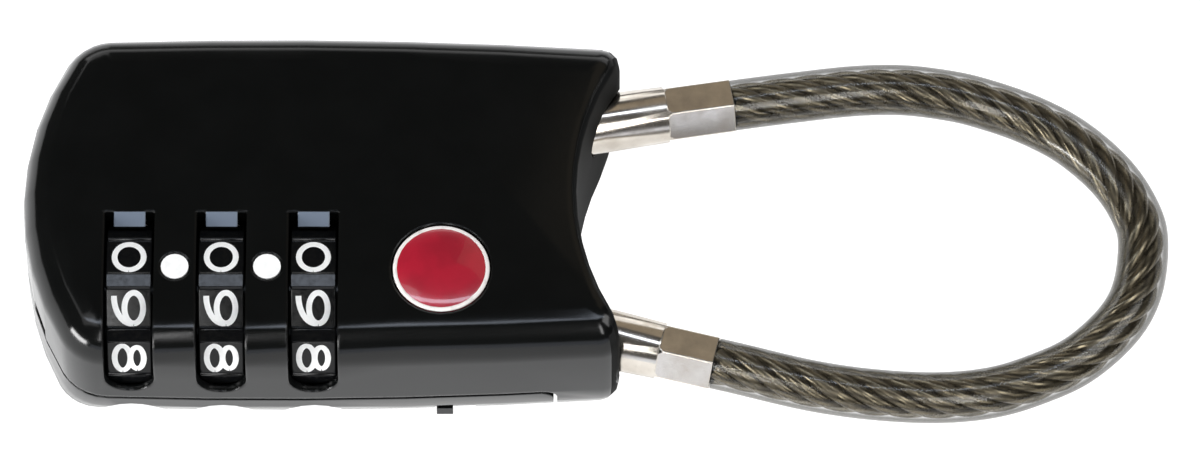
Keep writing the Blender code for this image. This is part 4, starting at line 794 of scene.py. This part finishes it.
@dataclass
class Cable:
    """Six-strand steel rope in a clear sleeve, from the captive ferrule to the free one."""

    palette: Palette
    axis_z: float = AXIS_Z
    captive_splay_deg: float = 10.2
    free_splay_deg: float = 13.3
    droop: float = 0.041
    captive_exit: Span = (22.2 * MM, 9.91 * MM)
    free_exit: Span = (23.1 * MM, -9.73 * MM)
    captive_length: float = 10.65 * MM
    free_length: float = 8.4 * MM
    end_gap: float = 0.08 * MM
    lead: float = 2.0 * MM
    line_steps: int = 12
    line_pitch: float = 0.5 * MM
    sleeve_radius: float = 2.04 * MM
    sleeve_sides: int = 28
    strand_count: int = 6
    strand_radius: float = 0.62 * MM
    strand_sides: int = 20
    helix_radius: float = 1.18 * MM
    core_radius: float = 0.75 * MM
    lay_length: float = 15.6 * MM
    inward: float = 0.14 * MM
    route: tuple[Span, ...] = (
        (38.0, 12.7), (42.64, 13.38), (46.56, 13.55), (50.16, 13.15), (52.88, 12.5), (56.64, 11.1),
        (60.16, 9.04), (63.28, 5.97), (65.12, 2.74), (65.68, -0.07), (65.12, -4.26), (63.52, -7.48),
        (60.4, -10.64), (57.04, -12.49), (53.36, -13.8), (49.04, -14.35), (43.92, -14.19),
        (38.88, -13.48),
    )

    def directions(self) -> tuple[Vector, Vector]:
        """Find how the two ends leave the housing.

        Returns:
            Unit vectors of the captive and the free end.
        """
        upper = math.radians(self.captive_splay_deg)
        lower = math.radians(self.free_splay_deg)
        up = Vector((math.cos(upper), math.sin(upper), -self.droop)).normalized()
        return up, Vector((math.cos(lower), -math.sin(lower), -self.droop)).normalized()

    def points(self) -> list[Vector]:
        """Draw the middle line of the sleeve.

        Returns:
            Its points from the captive to the free end.
        """
        up, down = self.directions()
        captive = Vector((*self.captive_exit, self.axis_z))
        free = Vector((*self.free_exit, self.axis_z))
        points = [captive + up * (self.captive_length + gap) for gap in (self.end_gap, self.lead)]
        for x, y in self.route:
            points.append(Vector((x * MM, y * MM, self.axis_z - self.droop * (x * MM - captive.x))))
        points += [free + down * (self.free_length + gap) for gap in (self.lead, self.end_gap)]
        return points

    def build(self) -> None:
        """Build the sleeve and the strands, and hide the CAD's jacket and rope."""
        line = even_line(smooth_line(self.points(), self.line_steps), self.line_pitch)
        axes = carried_axes(line)
        sleeve = self.sleeve(line, axes)
        strands = self.strands(line, axes)
        for piece in (sleeve, strands):
            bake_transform(piece)
        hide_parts("cable_jacket")
        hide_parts("cable_rope")

    @staticmethod
    def lay_tube(
        form: bmesh.types.BMesh,
        path: list[Vector],
        axes: list[tuple[Vector, Vector]],
        radius: float,
        sides: int,
        layer: bmesh.types.BMLayerItem | None = None,
    ) -> None:
        """Lay one round tube with closed ends, and map its girth and length if a map is given.

        Args:
            form: Mesh that gets the tube.
            path: Middle line of the tube.
            axes: Square axes along it.
            radius: Radius of the tube.
            sides: Sides of its section.
            layer: Map of the lay.
        """
        step = (path[1] - path[0]).length
        rows = []
        for point, pair in zip(path, axes):
            rows.append([form.verts.new(place) for place in circle(point, pair, radius, sides)])
        for i, (low, high) in enumerate(zip(rows, rows[1:])):
            for k in range(sides):
                j = (k + 1) % sides
                face = form.faces.new((low[k], low[j], high[j], high[k]))
                if layer is None:
                    continue
                corners = ((k, i), (k + 1, i), (k + 1, i + 1), (k, i + 1))
                for loop, (around, along) in zip(face.loops, corners):
                    loop[layer].uv = (around / sides, along * step / (2 * radius))
        form.faces.new(rows[0])
        form.faces.new(rows[-1])

    def sleeve(self, line: list[Vector], axes: list[tuple[Vector, Vector]]) -> bpy.types.Object:
        """Build the clear sleeve.

        Args:
            line: Middle line.
            axes: Square axes along it.

        Returns:
            The piece.
        """
        form = bmesh.new()
        self.lay_tube(form, line, axes, self.sleeve_radius, self.sleeve_sides)
        return link_mesh("cable_sleeve", form, self.palette.sleeve)

    @staticmethod
    def inward_of(side: Vector) -> Vector:
        """Find the way to the inside of the loop.

        Args:
            side: Level axis square to the cable.

        Returns:
            The unit vector.
        """
        return -Vector((side.x, side.y, 0.0)).normalized()

    def strands(self, line: list[Vector], axes: list[tuple[Vector, Vector]]) -> bpy.types.Object:
        """Build the laid strands and the core as one piece.

        Args:
            line: Middle line.
            axes: Square axes along it.

        Returns:
            The piece.
        """
        form = bmesh.new()
        layer = form.loops.layers.uv.new("lay")
        turn = 2 * math.pi * (line[1] - line[0]).length / self.lay_length
        core = [point + self.inward_of(side) * self.inward for point, (side, _) in zip(line, axes)]
        for strand in range(self.strand_count):
            path = []
            for i, (point, (side, up)) in enumerate(zip(core, axes)):
                angle = 2 * math.pi * strand / self.strand_count + turn * i
                path.append(point + (side * math.cos(angle) + up * math.sin(angle)) * self.helix_radius)
            self.lay_tube(form, path, carried_axes(path), self.strand_radius, self.strand_sides, layer)
        self.lay_tube(form, core, carried_axes(core), self.core_radius, self.strand_sides, layer)
        return link_mesh("cable_strands", form, self.palette.strand)


Arc = tuple[float, float, float, float, float, float]

# Centre lines of the digits in a box of one by one: arcs as centre, half sizes, start and end angle.
DIGIT_ARCS: dict[int, tuple[Arc, ...]] = {
    0: ((0.5, 0.5, 0.5, 0.5, 0, 360),),
    2: ((0.5, 0.7, 0.5, 0.3, 170, -40),),
    3: ((0.45, 0.76, 0.45, 0.24, 160, -90), (0.45, 0.27, 0.55, 0.27, 90, -160)),
    5: ((0.42, 0.32, 0.58, 0.32, 115, -150),),
    6: ((0.5, 0.32, 0.5, 0.32, 0, 360), (0.9, 0.4, 0.9, 0.6, 180, 90)),
    8: ((0.5, 0.27, 0.5, 0.27, 0, 360), (0.5, 0.77, 0.44, 0.23, 0, 360)),
    9: ((0.5, 0.68, 0.5, 0.32, 0, 360), (0.1, 0.6, 0.9, 0.6, 0, -90)),
}
# The straight strokes as corner points in the same box.
DIGIT_LINES: dict[int, tuple[tuple[Span, ...], ...]] = {
    1: (((0.2, 0.78), (0.55, 1.0), (0.55, 0.0)),),
    2: (((0.88, 0.51), (0.0, 0.0), (1.0, 0.0)),),
    4: (((0.72, 0.0), (0.72, 1.0), (0.0, 0.3), (1.0, 0.3)),),
    5: (((0.92, 1.0), (0.18, 1.0), (0.1, 0.56)),),
    7: (((0.0, 1.0), (1.0, 1.0), (0.35, 0.0)),),
}


@dataclass
class DialDigits:
    """White digits on the ten facets of one dial, each drawn with a flattened round stroke."""

    palette: Palette
    index: int
    x: float
    axis_y: float = -6.611 * MM
    axis_z: float = AXIS_Z
    phase_deg: float = -6.0
    facet_radius: float = 6.8 * MM
    width: float = 2.43 * MM
    height: float = 2.31 * MM
    stroke: float = 0.46 * MM
    stroke_rounds: int = 2
    thickness: float = 0.06
    arc_steps: int = 32
    count: int = 10

    def paths(self, digit: int) -> list[list[Span]]:
        """List the centre lines of one digit.

        Args:
            digit: The digit.

        Returns:
            Lines of points in the unit box.
        """
        lines = [list(line) for line in DIGIT_LINES.get(digit, ())]
        parts = [k / self.arc_steps for k in range(self.arc_steps + 1)]
        for cx, cy, rx, ry, first, last in DIGIT_ARCS.get(digit, ()):
            turns = [math.radians(first + (last - first) * part) for part in parts]
            lines.append([(cx + rx * math.cos(a), cy + ry * math.sin(a)) for a in turns])
        return lines

    def glyph(self, digit: int) -> bpy.types.Mesh:
        """Draw one digit as a flat raised stroke, centred on its own middle.

        Args:
            digit: The digit.

        Returns:
            The mesh.
        """
        curve = bpy.data.curves.new(f"digit_{digit}", "CURVE")
        curve.dimensions = "3D"
        curve.bevel_depth = self.stroke / 2
        curve.bevel_resolution = self.stroke_rounds
        curve.use_fill_caps = True
        for line in self.paths(digit):
            spline = curve.splines.new("POLY")
            spline.points.add(len(line) - 1)
            for target, (x, y) in zip(spline.points, line):
                target.co = ((x - 0.5) * self.width, (y - 0.5) * self.height, 0.0, 1.0)
        drawn = bpy.data.objects.new(curve.name, curve)
        bpy.context.scene.collection.objects.link(drawn)
        bpy.context.view_layer.update()
        graph = bpy.context.evaluated_depsgraph_get()
        mesh = bpy.data.meshes.new_from_object(drawn.evaluated_get(graph))
        bpy.data.objects.remove(drawn)
        mesh.transform(Matrix.Diagonal((1.0, 1.0, self.thickness, 1.0)))
        return mesh

    def build(self) -> None:
        """Build the digits of the dial as one piece."""
        form = bmesh.new()
        for digit in range(self.count):
            angle = math.radians(self.phase_deg) - 2 * math.pi * digit / self.count
            normal = Vector((0, -math.sin(angle), math.cos(angle)))
            up = Vector((1, 0, 0))
            right = up.cross(normal)
            centre = Vector((self.x, self.axis_y, self.axis_z)) + normal * self.facet_radius
            mesh = self.glyph(digit)
            mesh.transform(Matrix.Translation(centre) @ Matrix((right, up, normal)).transposed().to_4x4())
            form.from_mesh(mesh)
        piece = link_mesh(f"dial_{self.index}_digits", form, self.palette.ink)
        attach(piece, f"dial_{self.index}_body")


@dataclass
class BadgeRim:
    """Pale rim round the red inlay."""

    palette: Palette
    middle: tuple[float, float, float] = (9.6 * MM, -7.3 * MM, 15.72 * MM)
    radius: float = 3.62 * MM
    bead: float = 0.22 * MM
    flatness: float = 0.7
    around: int = 72
    across: int = 10

    def build(self) -> None:
        """Build the rim as a low bead."""
        form = bmesh.new()
        rows = []
        for i in range(self.around):
            turn = 2 * math.pi * i / self.around
            out = Vector((math.cos(turn), math.sin(turn), 0))
            ring = []
            for k in range(self.across):
                a = 2 * math.pi * k / self.across
                rise = Vector((0, 0, self.bead * self.flatness * math.sin(a)))
                reach = self.radius + self.bead * math.cos(a)
                ring.append(form.verts.new(Vector(self.middle) + out * reach + rise))
            rows.append(ring)
        for low, high in zip(rows, rows[1:] + rows[:1]):
            for k in range(self.across):
                j = (k + 1) % self.across
                form.faces.new((low[k], low[j], high[j], high[k]))
        piece = link_mesh("badge_rim", form, self.palette.rim)
        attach(piece, Body.HOUSING.value)


@dataclass
class CadDress:
    """Gives every CAD node its finish and smooth faces, and the dials a small edge round."""

    palette: Palette
    sharp_deg: float = 20.0
    normal_weight: int = 100
    bevelled: tuple[str, ...] = ("dial_1", "dial_2", "dial_3")
    bevel: float = 0.12 * MM
    bevel_deg: float = 40.0
    bevel_segments: int = 2

    def dress(self, nodes: dict[str, bpy.types.Object]) -> None:
        """Dress the nodes.

        Args:
            nodes: CAD nodes by name.
        """
        for name, node in nodes.items():
            slot = node.data.materials[0].name.split(".")[0]
            node.data.materials.clear()
            node.data.materials.append(self.palette.for_slot(slot))
            normals = node.data.attributes.get("custom_normal")
            if normals is not None:
                node.data.attributes.remove(normals)
            node.data.shade_smooth()
            weld = node.modifiers.new("weld", "WELD")
            weld.merge_threshold = WELD
            if name in self.bevelled:
                bevel = node.modifiers.new("edge_round", "BEVEL")
                bevel.width = self.bevel
                bevel.segments = self.bevel_segments
                bevel.limit_method = "ANGLE"
                bevel.angle_limit = math.radians(self.bevel_deg)
            sharp = node.modifiers.new("sharp_edges", "EDGE_SPLIT")
            sharp.split_angle = math.radians(self.sharp_deg)
            even = node.modifiers.new("flat_faces", "WEIGHTED_NORMAL")
            even.weight = self.normal_weight


@dataclass
class SpindleCoil:
    """Coil spring behind the spindle, copied rigid from its CAD node, though the real spring shortens as the
    spindle moves back.
    """

    palette: Palette
    node: str = "spindle_spring"
    travel: float = 1.6 * MM

    def build(self, nodes: dict[str, bpy.types.Object]) -> None:
        """Build the spring from its CAD node.

        Args:
            nodes: CAD nodes by name.
        """
        form = bmesh.new()
        form.from_mesh(nodes[self.node].data)
        bmesh.ops.remove_doubles(form, verts=form.verts, dist=WELD)
        piece = link_mesh("spindle_coil", form, self.palette.spring)
        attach(piece, Body.HOUSING.value)
        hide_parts(self.node)
        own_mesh(piece)


@dataclass(frozen=True)
class Lamp:
    """One soft box: where it stands as seen from the lock, and what it gives."""

    name: str
    azimuth_deg: float
    elevation_deg: float
    distance: float
    width: float
    height: float
    power: float
    colour: str = "#ffffff"


@dataclass
class Studio:
    """Camera, soft boxes, the white sweep and the sky."""

    target: tuple[float, float, float] = (22.16 * MM, 0.24 * MM, AXIS_Z)
    elevation_deg: float = 61.6
    distance: float = 0.9
    lens: float = 337.5
    sensor: float = 36.0
    clip_start: float = 0.01
    floor_half: float = 3.0
    floor_cells: int = 4
    world: str = "#8c8984"
    world_strength: float = 0.3
    lamps: tuple[Lamp, ...] = (
        Lamp("key_left", 341.0, 45.0, 0.6, 0.08, 0.3, 0.75),
        Lamp("key_right", 22.0, 45.0, 0.6, 0.1, 0.3, 0.8),
        Lamp("zenith_strip", 180.0, 86.0, 0.6, 0.7, 0.055, 0.9, "#e0eafa"),
        Lamp("front_low", 0.0, 5.5, 0.6, 0.8, 0.12, 0.4, "#e6ecfa"),
        Lamp("back_high", 180.0, 30.0, 0.6, 0.9, 0.12, 0.5),
        Lamp("back_box", 180.0, 16.0, 0.6, 0.8, 0.14, 0.63),
        Lamp("side_left", 268.0, 62.0, 0.8, 0.4, 0.4, 0.6),
        Lamp("side_right", 85.0, 50.0, 0.8, 0.4, 0.4, 2.2),
        Lamp("corner_streak", 300.0, 8.0, 0.6, 0.4, 0.13, 4.4),
        Lamp("warm_card", 155.0, 52.5, 0.116, 0.05, 0.06, 0.004, "#e0cdb0"),
    )

    def build(self) -> None:
        """Build the studio."""
        self.add_camera()
        for lamp in self.lamps:
            self.add_lamp(lamp)
        form = bmesh.new()
        bmesh.ops.create_grid(form, x_segments=self.floor_cells, y_segments=self.floor_cells,
                              size=self.floor_half)
        link_mesh("sweep", form, PaleFloor().build())
        self.add_world()
        bpy.context.scene.view_settings.view_transform = "Standard"

    def add_camera(self) -> None:
        """Stand the camera in front of the dial edge and look down on the lock."""
        data = bpy.data.cameras.new("camera")
        data.lens = self.lens
        data.sensor_width = self.sensor
        data.sensor_fit = "HORIZONTAL"
        data.clip_start = self.clip_start
        camera = bpy.data.objects.new("camera", data)
        bpy.context.scene.collection.objects.link(camera)
        self.aim(camera, 0.0, self.elevation_deg, self.distance)
        bpy.context.scene.camera = camera

    def add_lamp(self, lamp: Lamp) -> None:
        """Stand one soft box.

        Args:
            lamp: What it is and where it stands.
        """
        light = bpy.data.lights.new(lamp.name, "AREA")
        light.shape = "RECTANGLE"
        light.size = lamp.width
        light.size_y = lamp.height
        light.energy = lamp.power
        light.color = hex_to_linear(lamp.colour)[:3]
        obj = bpy.data.objects.new(lamp.name, light)
        bpy.context.scene.collection.objects.link(obj)
        self.aim(obj, lamp.azimuth_deg, lamp.elevation_deg, lamp.distance)

    def add_world(self) -> None:
        """Fill the surroundings with a dim warm grey."""
        world = bpy.data.worlds.new("studio")
        world.use_nodes = True
        back = world.node_tree.nodes["Background"]
        back.inputs["Color"].default_value = hex_to_linear(self.world)
        back.inputs["Strength"].default_value = self.world_strength
        bpy.context.scene.world = world

    def aim(self, obj: bpy.types.Object, azimuth: float, elevation: float, distance: float) -> None:
        """Place an object round the target and point it there.

        Args:
            obj: Camera or light.
            azimuth: Degrees from the dial side, towards the cable.
            elevation: Degrees above the floor.
            distance: Metres from the target.
        """
        turn, rise = math.radians(azimuth), math.radians(elevation)
        way = Vector((math.sin(turn) * math.cos(rise), -math.cos(turn) * math.cos(rise), math.sin(rise)))
        obj.location = Vector(self.target) + way * distance
        obj.rotation_euler = (-way).to_track_quat("-Z", "Y").to_euler()


def clear_start() -> None:
    """Remove the objects that Blender starts with."""
    for obj in list(bpy.data.objects):
        bpy.data.objects.remove(obj)


def main() -> None:
    """Build the picture."""
    logging.basicConfig(level=logging.INFO)
    clear_start()
    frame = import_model()
    palette = Palette()
    CadDress(palette).dress(frame["nodes"])
    Cable(palette).build()
    for i in range(DIAL_COUNT):
        place = DIAL_MIDDLE_X + (i - (DIAL_COUNT - 1) / 2) * DIAL_PITCH
        DialDigits(palette, i + 1, place).build()
    BadgeRim(palette).build()
    SpindleCoil(palette).build(frame["nodes"])
    Studio().build()
    log.info("pieces built")


if __name__ == "__main__":
    main()
